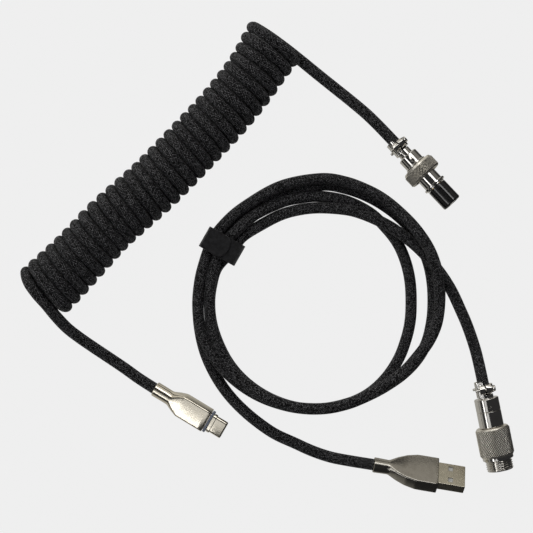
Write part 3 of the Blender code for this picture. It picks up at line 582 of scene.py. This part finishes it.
def metal(name, colour, dark, roughness, grain, grooved=False):
    """Plated metal: a slight cast, patches that shine less, and a fine grain; grooved metal also
    gets painted shade, its knurl grooves darkened almost to black.
    """
    made = Nodes(name)
    clouds = made.noise(420.0, 4.0, 0.6)
    tone = made.ramp(clouds, (0.3, dark), (0.7, colour))
    if grooved:
        groove = made.node("ShaderNodeAttribute", attribute_name="groove").outputs["Fac"]
        # Painted shade: the deeper a point lies in a knurl groove, the darker its colour, down to
        # near black, in place of the shade that falls there.
        painted_groove_shade = made.spread(groove, 0.6, 0.9, 1.0, 0.01)
        mixed = made.node("ShaderNodeMix", data_type="RGBA", blend_type="MULTIPLY")
        made.feed(mixed.inputs[0], 1.0)
        made.feed(mixed.inputs[6], tone)
        made.feed(mixed.inputs[7], painted_groove_shade)
        tone = mixed.outputs[2]
    made.set(Metallic=1.0, Base_Color=tone,
             Roughness=made.spread(clouds, 0.3, 0.75, roughness * 1.35, roughness * 0.8))
    made.bump(made.noise(9000.0, 2.0, 0.7), grain)
    return made.material


def braid(name, dark, light):
    """Two sets of strands crossing, over two and under two, with random paler flecks; the colour
    also follows the strands' relief, a painted highlight along each strand's crown and painted
    shade in the gaps between strands.
    """
    made = Nodes(name)
    around, along = made.surface()
    turns = made.math("MULTIPLY", around, BRAID_STRANDS)
    rows = made.math("MULTIPLY", along, BRAID_STRANDS / BRAID_PITCH)
    left = made.math("ADD", turns, rows)
    right = made.math("SUBTRACT", turns, rows)
    left_share = made.math("FRACT", left)
    right_share = made.math("FRACT", right)
    left_round = made.math("SINE", made.math("MULTIPLY", left_share, pi))
    right_round = made.math("SINE", made.math("MULTIPLY", right_share, pi))
    parity = made.math("ADD", made.math("FLOOR", left), made.math("FLOOR", right))
    over = made.math("LESS_THAN", made.math("MODULO", made.math("ADD", parity, 4000.0), 4.0), 1.5)
    chosen = made.node("ShaderNodeMix", data_type="FLOAT")
    made.feed(chosen.inputs[0], over)
    made.feed(chosen.inputs[2], left_round)
    made.feed(chosen.inputs[3], right_round)
    height = chosen.outputs[0]
    flecks = made.noise(1800.0, 2.0, 0.6)
    # Painted light and shade: the strands' relief drives the colour, pale on the crowns and near
    # black between strands, broken by random flecks.
    tone = made.math("MULTIPLY", height, made.spread(flecks, 0.35, 0.65, 0.5, 1.08))
    made.set(Base_Color=made.ramp(tone, (0.62, dark), (1.0, light)), Roughness=0.7,
             Sheen_Weight=0.02, Sheen_Roughness=0.5, Specular_IOR_Level=0.15)
    made.bump(height, BRAID_RELIEF)
    return made.material


def plastic(name, colour, roughness, grain=0.01, coat=0.0):
    made = Nodes(name)
    clouds = made.noise(700.0, 3.0)
    pale = tuple(min(1.0, c * 1.12 + 0.002) for c in colour)
    made.set(Base_Color=made.ramp(clouds, (0.3, colour), (0.7, pale)),
             Roughness=made.spread(clouds, 0.3, 0.7, roughness * 0.9, roughness * 1.15),
             Coat_Weight=coat, Coat_Roughness=0.08)
    made.bump(made.noise(6000.0, 2.0), grain)
    return made.material


def tape(name):
    """Hook-and-loop tape: black, with short matted loops."""
    made = Nodes(name)
    loops = made.noise(4200.0, 5.0, 0.75)
    patches = made.noise(500.0, 2.0)
    tone = made.math("MULTIPLY", loops, made.spread(patches, 0.3, 0.7, 0.7, 1.3))
    black, grey = (0.006, 0.006, 0.007), (0.045, 0.045, 0.05)
    made.set(Base_Color=made.ramp(tone, (0.3, black), (0.8, grey)), Roughness=0.9,
             Sheen_Weight=0.3, Specular_IOR_Level=0.3)
    made.bump(loops, 0.35)
    return made.material


def board(name):
    made = Nodes(name)
    copper = made.noise(900.0, 1.0)
    dark, light = (0.01, 0.09, 0.035), (0.02, 0.16, 0.06)
    made.set(Base_Color=made.ramp(copper, (0.45, dark), (0.55, light)), Roughness=0.35)
    made.bump(copper, 0.02)
    return made.material


LOOKS = {name: make(name, *values) for name, make, *values in (
    # black_braid: the first colour is the painted shade between strands, the second the painted
    # highlight on their crowns.
    ("black_braid", braid, (0.0015, 0.0015, 0.002), (0.3, 0.3, 0.315)),
    ("black_tape", tape),
    ("nickel_plate", metal, (0.80, 0.785, 0.755), (0.72, 0.70, 0.66), 0.09, 0.004),
    # knurled_nickel darkens its knurl grooves to near black in colour: painted shade.
    ("knurled_nickel", metal, (0.97, 0.935, 0.85), (0.84, 0.80, 0.72), 0.33, 0.01, True),
    ("bright_nickel", metal, (0.90, 0.845, 0.72), (0.78, 0.72, 0.60), 0.14, 0.008),
    ("dark_nickel", metal, (0.40, 0.38, 0.34), (0.35, 0.33, 0.29), 0.2, 0.01),
    ("shell_steel", metal, (0.60, 0.56, 0.46), (0.50, 0.47, 0.38), 0.25, 0.01),
    ("black_plastic", plastic, (0.006, 0.006, 0.007), 0.25, 0.003, 1.0),
    ("white_plastic", plastic, (0.72, 0.72, 0.70), 0.45),
    ("grey_plastic", plastic, (0.21, 0.24, 0.31), 0.42),
    ("gold_contact", metal, (0.92, 0.68, 0.30), (0.78, 0.54, 0.2), 0.2, 0.005),
    ("wire_insulation", plastic, (0.40, 0.03, 0.02), 0.4),
    ("circuit_board", board),
)}


# ---- cords

def cord_tube(name, path, look):
    """A round tube along the path whose rings don't twist, with its own flat ends."""
    tangents = np.gradient(path, axis=0)
    tangents /= np.linalg.norm(tangents, axis=1)[:, None]
    side = np.cross(tangents[0], (0, 0, 1.0))
    side /= np.linalg.norm(side)
    angles = np.arange(CORD_SIDES) / CORD_SIDES * tau
    rings = []
    for point, tangent in zip(path, tangents):
        side = side - tangent * side.dot(tangent)
        side /= np.linalg.norm(side)
        other = np.cross(tangent, side)
        rings.append(point + CORD_DIAMETER / 2 * (np.cos(angles)[:, None] * side
                                                  + np.sin(angles)[:, None] * other))
    return skin(name, rings, look, LAYOUT)


def along_axis(rear, ahead, reach):
    """The point this far along a connector's axis from its rear end."""
    rear, ahead = np.array(rear), np.array(ahead)
    return rear + (ahead - rear) / np.linalg.norm(ahead - rear) * reach


def coiled_cord():
    start = along_axis(USB_C_REAR, USB_C_AHEAD, COLLAR_GRIP)
    end = along_axis(PLUG_REAR, PLUG_AHEAD, CLAMP_GRIP)
    route = np.vstack((start, USB_C_LEAD, coil_path(), PLUG_LEAD, end))
    path = even_steps(catmull_rom(route), CORD_RING_STEP)
    piece = cord_tube("coiled_cord", path, LOOKS["black_braid"])
    first, last = COIL_MIDLINE[0], COIL_MIDLINE[-1]
    after, before = COIL_BLEND_INSETS
    start = in_row((first[0] + after, first[1] + after, COIL_HEIGHT))
    end = in_row((last[0] - before, last[1] - before, COIL_HEIGHT))
    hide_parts("usb_c_lead", "coil", "plug_lead")
    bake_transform(piece)
    return piece, path


def host_cord():
    start = along_axis(USB_A_REAR, USB_A_AHEAD, COLLAR_GRIP)
    end = along_axis(SOCKET_REAR, SOCKET_AHEAD, CLAMP_GRIP)
    path = even_steps(catmull_rom(np.vstack((start, HOST_ROUTE, end))), CORD_RING_STEP)
    piece = cord_tube("host_cord_braid", path, LOOKS["black_braid"])
    show(piece, "host_cable", "black_braid", "host_cord")
    return piece, path


# ---- aviator connector pieces

def contact_places():
    """Each of the four contacts' number and place across the connector's axis."""
    for k in range(4):
        angle = tau * (k + 0.5) / 4
        x, y = CONTACT_CIRCLE_RADIUS * cos(angle), CONTACT_CIRCLE_RADIUS * sin(angle)
        yield k + 1, x, y


def ear(name, sign, span, look, place):
    """A clamp's ear for one screw: straight sides and a round top about the screw."""
    low, high = CLAMP_SPAN
    middle, half = (low + high) / 2, (high - low) / 2
    outline = [(sign * EAR_ROOT, low), (sign * EAR_ROOT, high)]
    for angle in np.linspace(0, pi, 17):
        outline.append((sign * (EAR_ROUND_AT + half * sin(angle)),
                        middle + half * cos(angle)))
    if sign < 0:
        outline.reverse()
    return skin(name, [[(x, y, z) for y, z in outline] for x in span], look, place)


def clamp_half(name, side, near, far, look, place, bevel=0.0):
    """Half a saddle round the cord with two screw ears, on one side of it."""
    inner, outer = CLAMP_BORE_RADIUS, CLAMP_BORE_RADIUS + CLAMP_WALL
    angles = np.radians(np.linspace(-80, 80, 25))
    arc = np.concatenate((circle(angles, outer), circle(angles, inner)[::-1])) * (side, 1)
    rings = [np.column_stack((arc, np.full(len(arc), z))) for z in (near, far)]
    saddle = skin(name, rings, look, place)
    faces = sorted((side * CLAMP_GAP, side * CLAMP_FLAT))
    ears = [ear(f"{name}_{label}_ear", sign, faces, look, place)
            for label, sign in (("upper", 1), ("lower", -1))]
    combine(saddle, "UNION", *ears)
    holes = [bar(f"{name}_bore", inner, (0, 0, near - 2), (0, 0, far + 0.2), look, place, 48)]
    along = sum(CLAMP_SPAN) / 2
    for height in (CLAMP_SCREW_HEIGHT, -CLAMP_SCREW_HEIGHT):
        holes.append(bar(f"{name}_hole", CLAMP_SCREW_RADIUS + 0.12, (-7, height, along),
                         (7, height, along), look, place, 24))
    return combine(saddle, "DIFFERENCE", *holes, bevel=bevel)


def clamp_screws(prefix, look, place, body):
    along = sum(CLAMP_SPAN) / 2
    tip, seat = CLAMP_SCREW_TIP, CLAMP_SCREW_SEAT
    radius, head = CLAMP_SCREW_RADIUS, CLAMP_SCREW_HEAD_RADIUS
    for label, sign in (("upper", 1), ("lower", -1)):
        height = sign * CLAMP_SCREW_HEIGHT
        name = f"{prefix}_screw_{label}"
        profile = [(0, tip), (radius - 0.15, tip)]
        for k in range(CLAMP_SCREW_THREADS):
            z = tip + 0.2 + k * CLAMP_SCREW_PITCH
            profile += [(radius - 0.12, z), (radius, z + 0.2)]
        profile += [(radius, seat), (head, seat), (head, seat + 1.1), (head - 0.25, seat + 1.4),
                    (0, seat + 1.5)]
        turn = Matrix.Translation((0, height, along)) @ Matrix.Rotation(pi / 2, 4, "Y")
        screw = turned(name, profile, look, place @ turn, 32, 0.0)
        slots = [block(f"{name}_slot_{k}", (seat + 0.8, height - a, along - b),
                       (seat + 3, height + a, along + b), look, place)
                 for k, (a, b) in enumerate(((0.22, 1.0), (1.0, 0.22)))]
        combine(screw, "DIFFERENCE", *slots)
        show(screw, body, "nickel_plate", f"{prefix}_clamp_screw_{label}")


def barrel_with_tongue(prefix, profile, tongue_end, hole_at, radius, look, place, body):
    """A connector's barrel, its set screw, and the clamp on the tongue behind it."""
    barrel = turned(f"{prefix}_barrel_shell", profile, look, place, 96, 0.14)
    tongue = clamp_half(f"{prefix}_tongue", -1, 0.3, tongue_end, look, place)
    combine(barrel, "UNION", tongue)
    hole = bar(f"{prefix}_hole", SET_SCREW_HOLE_RADIUS, (0, radius - 2.2, hole_at),
               (0, radius + 2, hole_at), look, place, 32)
    combine(barrel, "DIFFERENCE", hole, bevel=0.08)
    show(barrel, body, "nickel_plate", f"{prefix}_barrel")
    grub = bar(f"{prefix}_grub_screw", SET_SCREW_RADIUS, (0, radius - 1.2, hole_at),
               (0, radius - 0.2, hole_at), look, place, 24, 0.08)
    slot = block(f"{prefix}_grub_slot", (-2, radius - 0.75, hole_at - 0.15),
                 (2, radius, hole_at + 0.15), look, place)
    combine(grub, "DIFFERENCE", slot)
    show(grub, body, "nickel_plate", f"{prefix}_set_screw")
    strap = clamp_half(f"{prefix}_clamp_strap", 1, *CLAMP_SPAN, look, place, 0.12)
    show(strap, body, "nickel_plate", f"{prefix}_clamp_bar")
    clamp_screws(prefix, look, place, body)


def plug():
    place = axis_frame(PLUG_REAR, PLUG_AHEAD)
    steel, black = LOOKS["nickel_plate"], LOOKS["black_plastic"]
    gold = LOOKS["gold_contact"]
    start, neck_end = PLUG_NECK
    end, outer = PLUG_BARREL_END, PLUG_BARREL_RADIUS
    profile = ((3.05, start), (3.05, neck_end), (outer - 0.4, neck_end), (outer, neck_end + 0.4),
               (outer, end - 0.6), (5.1, end - 0.6), (5.1, end), (3.8, end), (3.8, neck_end + 0.7),
               (2.3, neck_end + 0.7), (2.3, start))
    barrel_with_tongue("plug", profile, start + 0.8, 12.9, outer, steel, place, "plug_end")

    low, high = SLEEVE_SPAN
    clip_low, clip_high = CLIP_SPAN
    outer, groove = SLEEVE_RADIUS, SLEEVE_GROOVE_RADIUS
    sleeve = ((3.5, low - 2.6), (3.5, low), (outer, low), (outer, clip_low - 0.1),
              (groove, clip_low - 0.1), (groove, clip_high + 0.1), (outer, clip_high + 0.1),
              (outer, high), (3.4, high), (3.4, high - 4), (2.8, high - 4), (2.8, low - 2.6))
    show(turned("plug_sleeve_metal", sleeve, steel, place, 96, 0.08), "plug_end", "nickel_plate",
         "plug_sleeve")
    inner, outer = CLIP_RADII
    clip = ((inner, clip_low), (outer, clip_low), (outer, clip_high), (inner, clip_high))
    show(turned("plug_clip", clip, steel, place, 72, 0.12, -pi / 2 + CLIP_OPENING / 2,
                tau - CLIP_OPENING), "plug_end", "nickel_plate", "plug_retaining_ring")

    low, high = INSERT_SPAN
    outline = ((0, low - 2.8), (3.1, low - 2.8), (3.1, low), (INSERT_RADIUS, low),
               (INSERT_RADIUS, high - 0.4), (INSERT_RADIUS - 0.4, high), (0, high))
    insert = turned("plug_insert_moulding", outline, black, place, 96, 0.2)
    cuts = [block("plug_key", (-0.8, INSERT_RADIUS - 0.9, low + 1.5),
                  (0.8, INSERT_RADIUS + 1, high + 1), black, place)]
    cuts += [bar(f"plug_well_{n}", INSERT_HOLE_RADIUS, (x, y, low - 4), (x, y, high + 1), black,
                 place, 24) for n, x, y in contact_places()]
    combine(insert, "DIFFERENCE", *cuts, bevel=0.08)
    show(insert, "plug_end", "black_plastic", "plug_insert")
    for number, x, y in contact_places():
        contact = bar(f"plug_contact_sleeve_{number}", INSERT_HOLE_RADIUS - 0.1, (x, y, low - 2.4),
                      (x, y, high - 1.0), gold, place, 24, 0.1)
        bore = bar(f"plug_contact_bore_{number}", 0.5, (x, y, high - 6), (x, y, high + 1), gold,
                   place, 16)
        combine(contact, "DIFFERENCE", bore)
        show(contact, "plug_end", "gold_contact", f"plug_contact_{number}")
    ring(place)


def ring(place):
    """The coupling ring, knurled outside and threaded inside."""
    start, end = RING_SPAN
    bore, cavity, shelf = RING_BORE_RADIUS, RING_CAVITY_RADIUS, start + RING_LIP
    root = RING_RADIUS - RING_KNURL_DEPTH
    rows = [(bore, start + 0.1), (bore + 0.1, start), (7.0, start), (7.1, start + 0.05),
            (root, start + 0.95)]
    rows += knurl(RING_RADIUS, start + 1.0, end - 0.3, RING_KNURL_TEETH, RING_KNURL_DEPTH)
    rows += [(root, end - 0.25), (RING_RADIUS - 0.55, end - 0.03),
             (RING_RADIUS - 0.65, end), (cavity + 0.35, end), (cavity + 0.05, end - 0.25)]
    z = end - 0.4
    while z > shelf + THREAD_PITCH:
        rows += [(cavity, z), (cavity, z - 0.2), (cavity + 0.4, z - 0.5), (cavity + 0.4, z - 0.7)]
        z -= THREAD_PITCH
    rows += [(cavity, shelf), (bore, shelf)]
    piece = revolved("coupling_ring_body", rows, RING_KNURL_TEETH * 6, LOOKS["knurled_nickel"],
                     place)
    show(piece, "coupling_ring", "nickel_plate", "coupling_ring")


def socket():
    place = axis_frame(SOCKET_REAR, SOCKET_AHEAD)
    steel, black = LOOKS["nickel_plate"], LOOKS["black_plastic"]
    start, neck_end = SOCKET_NECK
    end, outer, seam = SOCKET_BARREL_END, SOCKET_BARREL_RADIUS, SOCKET_SEAM
    profile = ((3.4, start), (3.4, neck_end), (outer - 0.3, neck_end), (outer, neck_end + 0.3),
               (outer, seam - 0.12), (outer - 0.35, seam - 0.06), (outer - 0.35, seam + 0.06),
               (outer, seam + 0.12), (outer, end), (4.5, end), (4.5, neck_end + 0.9),
               (2.3, neck_end + 0.9), (2.3, start))
    barrel_with_tongue("socket", profile, start + 0.8, 11.2, outer, steel, place, "host_cable")
    knurled, nose = socket_body(place)
    show(knurled, "host_cable", "nickel_plate", "socket_body")
    show(nose, "host_cable", "nickel_plate")

    low, high = SOCKET_INSERT_SPAN
    outline = ((0, low), (SOCKET_INSERT_RADIUS, low), (SOCKET_INSERT_RADIUS, high), (0, high))
    insert = turned("socket_insert_moulding", outline, black, place, 64, 0.2)
    cuts = [bar(f"socket_well_{n}", 0.6, (x, y, low - 1), (x, y, high + 1), black, place, 20)
            for n, x, y in contact_places()]
    combine(insert, "DIFFERENCE", *cuts)
    show(insert, "host_cable", "black_plastic", "socket_insert")
    for number, x, y in contact_places():
        pin = bar(f"socket_pin_gold_{number}", 0.5, (x, y, low + 0.2), (x, y, SOCKET_PIN_END),
                  LOOKS["gold_contact"], place, 20, 0.25)
        show(pin, "host_cable", "gold_contact", f"socket_pin_{number}")


def saw(value):
    """A triangle wave from 0 to 1 and back, once for each whole number."""
    return np.abs(2 * (value - np.floor(value)) - 1)


def knurl(radius, low, high, teeth, depth):
    """Rows of a diamond knurl between two heights, as functions of the angle."""
    row_height = tau * radius / teeth
    rows = []
    for z in np.arange(low, high, row_height / 6):
        fade = min(1.0, (z - low) / 0.2, (high - z) / 0.2)

        def groove(angles, z=z):
            share = teeth * angles / tau
            return np.maximum(saw(share + z / row_height), saw(share - z / row_height))

        def reach(angles, groove=groove, fade=fade):
            return radius - depth * (groove(angles) * fade + 1 - fade)

        rows.append((reach, z, groove))
    return rows


def revolved(name, rows, sides, look, place):
    """Rows of (radius, height) turned about Z; a knurl's rows vary round the turn."""
    angles = np.arange(sides) / sides * tau
    rings, grooves = [], []
    for radius, z, *groove in rows:
        radii = radius(angles) if callable(radius) else np.full(sides, radius)
        rings.append(np.column_stack((circle(angles, radii), np.full(sides, z))))
        grooves.append(groove[0](angles) if groove else np.zeros(sides))
    return skin(name, rings, look, place, joined=True, grooves=grooves)


def socket_body(place):
    """The body: a diamond-knurled sleeve, then the polished shoulder and thread."""
    start, end = BODY_SPAN
    low, high = KNURL_SPAN
    root, rim = KNURL_RADIUS - KNURL_DEPTH, KNURL_RADIUS - 0.7
    bore, floor_at = SOCKET_BORE_RADIUS, SOCKET_BORE_FLOOR
    rows = [(4.2, start - 3), (4.2, start), (rim - 0.1, start), (rim, start + 0.08),
            (root, low - 0.06)]
    rows += knurl(KNURL_RADIUS, low, high, KNURL_TEETH, KNURL_DEPTH)
    rows += [(root, high + 0.06), (rim, KNURL_END - 0.08), (rim - 0.1, KNURL_END),
             (bore + 0.2, KNURL_END), (bore + 0.2, floor_at), (3.2, floor_at), (3.2, start - 3)]
    sides = KNURL_TEETH * 6
    knurled = revolved("socket_body_knurl", rows, sides, LOOKS["knurled_nickel"], place)

    outer, relief = SHOULDER_RADIUS, THREAD_RADIUS - THREAD_DEPTH - 0.3
    rows = [(bore, KNURL_END - 0.4), (outer - 0.1, KNURL_END - 0.4), (outer, KNURL_END + 0.1),
            (outer, SHOULDER_END - 0.2), (outer - 0.2, SHOULDER_END), (relief, SHOULDER_END),
            (relief, SHOULDER_END + 0.35)]
    thread_end = end - 0.25
    for z in np.arange(SHOULDER_END + 0.4, thread_end, 0.1):
        fade = min(1.0, (thread_end - z) / 0.4)

        def reach(angles, z=z, fade=fade):
            crest = np.clip(saw(z / THREAD_PITCH - angles / tau) * 1.35 - 0.1, 0, 1)
            return THREAD_RADIUS - THREAD_DEPTH * crest * fade - 0.25 * (1 - fade)

        rows.append((reach, z))
    rows += [(THREAD_RADIUS - 0.3, end - 0.12), (THREAD_RADIUS - 0.45, end), (bore + 0.12, end),
             (bore, end - 0.12), (bore, KNURL_END - 0.3)]
    nose = revolved("socket_body_nose", rows, sides, LOOKS["nickel_plate"], place)
    return knurled, nose


# ---- USB plugs

def loft(stations):
    """Rings through (at, width, height, corner radius) stations, evenly between them."""
    rings = []
    for low, high in zip(stations, stations[1:]):
        for t in np.arange(LOFT_STEPS) / LOFT_STEPS:
            rings.append([a + (b - a) * t for a, b in zip(low, high)])
    rings.append(list(stations[-1]))
    return [rounded_ring(w, h, r, at) for at, w, h, r in rings]


def usb_a():
    place = axis_frame(USB_A_REAR, USB_A_AHEAD, USB_A_ROLL)
    look = LOOKS["dark_nickel"]
    length = USB_A_LENGTH
    stations = ((0.0, 6.3, 6.3, 3.15), (0.2, 6.7, 6.7, 3.35), (1.2, 6.7, 6.7, 3.35),
                (6.4, 6.4, 6.4, 3.2), (7.0, 6.5, 6.4, 2.9), (10.5, 9.6, 6.2, 1.3),
                (14.5, 12.9, 6.4, 0.9), (19.0, 15.2, 6.5, 0.9), (21.0, 15.4, 6.5, 0.9),
                (length - 0.35, 15.4, 6.5, 0.9), (length - 0.1, 15.2, 6.3, 0.8),
                (length, 14.9, 6.0, 0.7))
    rings = loft(stations)
    rings += [rounded_ring(12.5, 5.0, 0.7, length), rounded_ring(12.4, 4.9, 0.7, length - 0.15),
              rounded_ring(12.4, 4.9, 0.7, 18.5)]
    housing = skin("usb_a_body", rings, look, place)
    show(housing, "host_cable", "dark_nickel", "usb_a_housing")

    width, height = USB_A_SHELL
    start, end = USB_A_SHELL_SPAN
    wall = 2 * USB_A_WALL
    rings = [rounded_ring(width - less, height - less, radius, at)
             for less, radius, at in ((0, 0.6, start), (0, 0.6, end - 0.3), (0.1, 0.55, end - 0.08),
                                      (0.3, 0.45, end), (wall, 0.35, end - 0.1),
                                      (wall, 0.35, start))]
    steel = LOOKS["shell_steel"]
    shell = skin("usb_a_shell_steel", rings, steel, place, joined=True)
    wide, deep = USB_A_HOLE
    cuts = []
    for label, side in (("inner", -1), ("outer", 1)):
        middle = side * USB_A_HOLE_OFFSET
        low = (middle - wide / 2, -4, USB_A_HOLE_AT - deep / 2)
        high = (middle + wide / 2, 4, USB_A_HOLE_AT + deep / 2)
        cuts.append(block(f"usb_a_window_{label}", low, high, steel, place))
    combine(shell, "DIFFERENCE", *cuts, bevel=0.06)
    show(shell, "host_cable", "shell_steel", "usb_a_shell")
    tongue = block("usb_a_tongue_moulding", (-5.35, 0.15, start + 0.3), (5.35, 1.6, end - 0.4),
                   LOOKS["white_plastic"], place, 0.15)
    show(tongue, "host_cable", "white_plastic", "usb_a_tongue")
    for k in range(4):
        x = (k - 1.5) * 2.25
        contact = block(f"usb_a_blade_{k + 1}", (x - 0.5, -0.2, start + 2),
                        (x + 0.5, 0.12, end - 1), LOOKS["gold_contact"], place, 0.08)
        show(contact, "host_cable", "gold_contact", f"usb_a_contact_{k + 1}")


def usb_c():
    place = axis_frame(USB_C_REAR, USB_C_AHEAD, USB_C_ROLL)
    look = LOOKS["bright_nickel"]
    length = USB_C_LENGTH
    stations = ((0.0, 6.3, 6.3, 3.15), (0.2, 6.7, 6.7, 3.35), (7.6, 6.6, 6.6, 3.3),
                (8.4, 6.8, 6.5, 3.0), (11.0, 8.6, 6.3, 1.7), (13.6, 10.1, 6.3, 1.0),
                (14.4, 10.3, 6.3, 0.9), (length - 0.3, 10.3, 6.3, 0.9),
                (length - 0.1, 10.15, 6.15, 0.85), (length, 9.9, 5.9, 0.8))
    rings = loft(stations)
    rings += [rounded_ring(*USB_C_MOUTH, length), rounded_ring(*USB_C_MOUTH, 16.5)]
    show(skin("usb_c_body", rings, look, place), "keyboard_end", "bright_nickel", "usb_c_housing")

    low, high = USB_C_BAND_SPAN
    wide, deep = USB_C_BAND
    rings = [rounded_ring(wide, deep, 1.4, low), rounded_ring(wide, deep, 1.4, high - 0.15),
             rounded_ring(wide - 0.3, deep - 0.3, 1.3, high), rounded_ring(*USB_C_MOUTH, high),
             rounded_ring(*USB_C_MOUTH, low)]
    show(skin("usb_c_collar_band", rings, LOOKS["grey_plastic"], place, joined=True),
         "keyboard_end", "grey_plastic", "usb_c_band")

    shell, flange = USB_C_SHELL, USB_C_FLANGE
    start, end = USB_C_SHELL_SPAN
    low, high = USB_C_FLANGE_SPAN
    rows = ((shell, 0, start), (shell, 0, low), (flange, 0, low + 0.02), (flange, 0, high - 0.2),
            (flange, 0.3, high), (shell, 0, high + 0.05), (shell, 0, end - 0.6),
            (shell, 0.15, end - 0.2), (shell, 0.5, end), (shell, 1.1, end),
            (shell, 1.1, end - 0.4), (shell, 0.5, end - 0.5), (shell, 0.5, start))
    rings = [rounded_ring(width - less, height - less, (height - less) / 2, at,
                          SHELL_CORNER_POINTS) for (width, height), less, at in rows]
    show(skin("usb_c_shell_metal", rings, look, place, joined=True), "keyboard_end",
         "bright_nickel", "usb_c_shell")


# ---- fabric tie

def tie():
    place = axis_frame(TIE_MIDDLE, TIE_AHEAD)
    look = LOOKS["black_tape"]
    width, height = TIE_CAVITY
    wall = 2 * TIE_WALL
    middle = TIE_FLOOR + TIE_WALL + height / 2
    rings = []
    half = TIE_LENGTH / 2
    for at, extra in ((-half, wall - 0.3), (-half + 0.2, wall), (half - 0.2, wall),
                      (half, wall - 0.3), (half, 0.2), (half - 0.2, 0.0), (-half + 0.2, 0.0),
                      (-half, 0.2)):
        outline = rounded_ring(width + extra, height + extra, 2.6 + extra / 2, at, 10)
        rings.append([(x, y + middle, z) for x, y, z in outline])
    show(skin("tie_wrap_tape", rings, look, place, joined=True), "host_cable", "black_tape",
         "tie_wrap")

    tip, root = TAB_SPAN
    top = TIE_FLOOR + wall + height + 0.1
    outline = [(root - 0.2, -half), (root - 0.2, half)]
    for k in range(25):
        angle = pi / 2 - pi * k / 24
        outline.append((tip + 3.5 - 3.5 * cos(angle), half * sin(angle)))
    rings = [[(x, y, z) for x, z in outline] for y in (top, top + TAB_THICKNESS)]
    tab = skin("tie_tab_tape", rings, look, place)
    combine(tab, "UNION", bevel=0.25)
    show(tab, "tie_tab", "black_tape", "tie_tab")


# ---- the set, the floor, the light

def dress_kept_nodes():
    """The CAD nodes that stay get the procedural material of their slot."""
    slots = {part["node"]: part["material_slot"] for part in frame["record"]["subparts"]}
    for name, node in frame["nodes"].items():
        for slot in node.material_slots:
            slot.material = LOOKS[slots[name]]


def glow(name, strength):
    """A plain pale surface that gives off its own even light."""
    made = Nodes(name)
    made.set(Base_Color=(0.012, 0.012, 0.012), Roughness=0.9, Specular_IOR_Level=0.0,
             Emission_Color=(1.0, 1.0, 1.0), Emission_Strength=strength)
    return made.material


def floor():
    """The pale ground, and a pale dome past it; neither shows in the metal's reflections."""
    reach = 2.5
    mesh = bpy.data.meshes.new("floor")
    corners = [(x * reach, y * reach, 0) for x, y in ((-1, -1), (1, -1), (1, 1), (-1, 1))]
    mesh.from_pydata(corners, [], [(0, 1, 2, 3)])
    ground = new_object("floor", mesh, glow("floor", FLOOR_GLOW))
    ground.location.z = -0.0003
    ground.visible_glossy = False

    bm = bmesh.new()
    bmesh.ops.create_icosphere(bm, subdivisions=4, radius=2.4)
    bmesh.ops.reverse_faces(bm, faces=bm.faces)
    mesh = bpy.data.meshes.new("backdrop")
    bm.to_mesh(mesh)
    bm.free()
    dome = new_object("backdrop", mesh, glow("backdrop", FLOOR_GLOW))
    dome.visible_glossy = False
    dome.visible_diffuse = False
    dome.visible_shadow = False


def area_light(name, place, size, power):
    """A rectangular panel that faces the middle of the set."""
    data = bpy.data.lights.new(name, "AREA")
    data.shape = "RECTANGLE"
    data.size, data.size_y = size
    data.energy = power
    obj = bpy.data.objects.new(name, data)
    bpy.context.scene.collection.objects.link(obj)
    obj.location = place
    obj.rotation_euler = (-Vector(place)).to_track_quat("-Z", "Y").to_euler()


def light():
    """A dark studio, pale low on the left and past the top, with soft panels as the metal shows."""
    world = bpy.data.worlds.new("studio")
    bpy.context.scene.world = world
    world.use_nodes = True
    tree = world.node_tree
    background = tree.nodes["Background"]
    direction = tree.nodes.new("ShaderNodeTexCoord").outputs["Generated"]

    def pale(towards, low_at, high_at, low_colour, high_colour):
        """A colour that turns from low to high as the direction nears the one given."""
        nearness = tree.nodes.new("ShaderNodeVectorMath")
        nearness.operation = "DOT_PRODUCT"
        nearness.inputs[1].default_value = towards
        tree.links.new(direction, nearness.inputs[0])
        ramp = tree.nodes.new("ShaderNodeValToRGB")
        low, high = ramp.color_ramp.elements
        low.position, low.color = low_at, (*low_colour, 1)
        high.position, high.color = high_at, (*high_colour, 1)
        tree.links.new(nearness.outputs["Value"], ramp.inputs[0])
        return ramp.outputs[0]

    left = pale((-0.6, 0, -0.8), 0.25, 0.55, (0.03, 0.03, 0.031), (0.42, 0.41, 0.38))
    past_top = pale((-0.35, 0.94, 0), 0.4, 0.66, (0, 0, 0), (0.55, 0.53, 0.49))
    both = tree.nodes.new("ShaderNodeMix")
    both.data_type, both.blend_type = "RGBA", "LIGHTEN"
    both.inputs[0].default_value = 1.0
    tree.links.new(left, both.inputs[6])
    tree.links.new(past_top, both.inputs[7])
    tree.links.new(both.outputs[2], background.inputs["Color"])
    background.inputs["Strength"].default_value = 1.0
    area_light("left_panel", (-0.62, -0.1, 0.72), (1.2, 0.17), 1.4)
    area_light("top_panel", (0.1, 0.55, 0.75), (0.7, 0.25), 1.5)
    area_light("near_panel", (-0.27, -0.38, 0.87), (0.34, 0.48), 0.32)


def camera():
    data = bpy.data.cameras.new("camera")
    data.lens = CAMERA_LENS
    data.sensor_width = 36.0
    data.clip_start = 0.01
    obj = bpy.data.objects.new("camera", data)
    bpy.context.scene.collection.objects.link(obj)
    obj.location = in_row((0, 0, CAMERA_HEIGHT))
    bpy.context.scene.camera = obj


def main():
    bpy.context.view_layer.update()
    dress_kept_nodes()
    coiled, coiled_path = coiled_cord()
    host, host_path = host_cord()
    plug()
    socket()
    usb_a()
    usb_c()
    tie()
    floor()
    light()
    camera()
    bpy.context.scene.view_settings.view_transform = "Standard"


main()
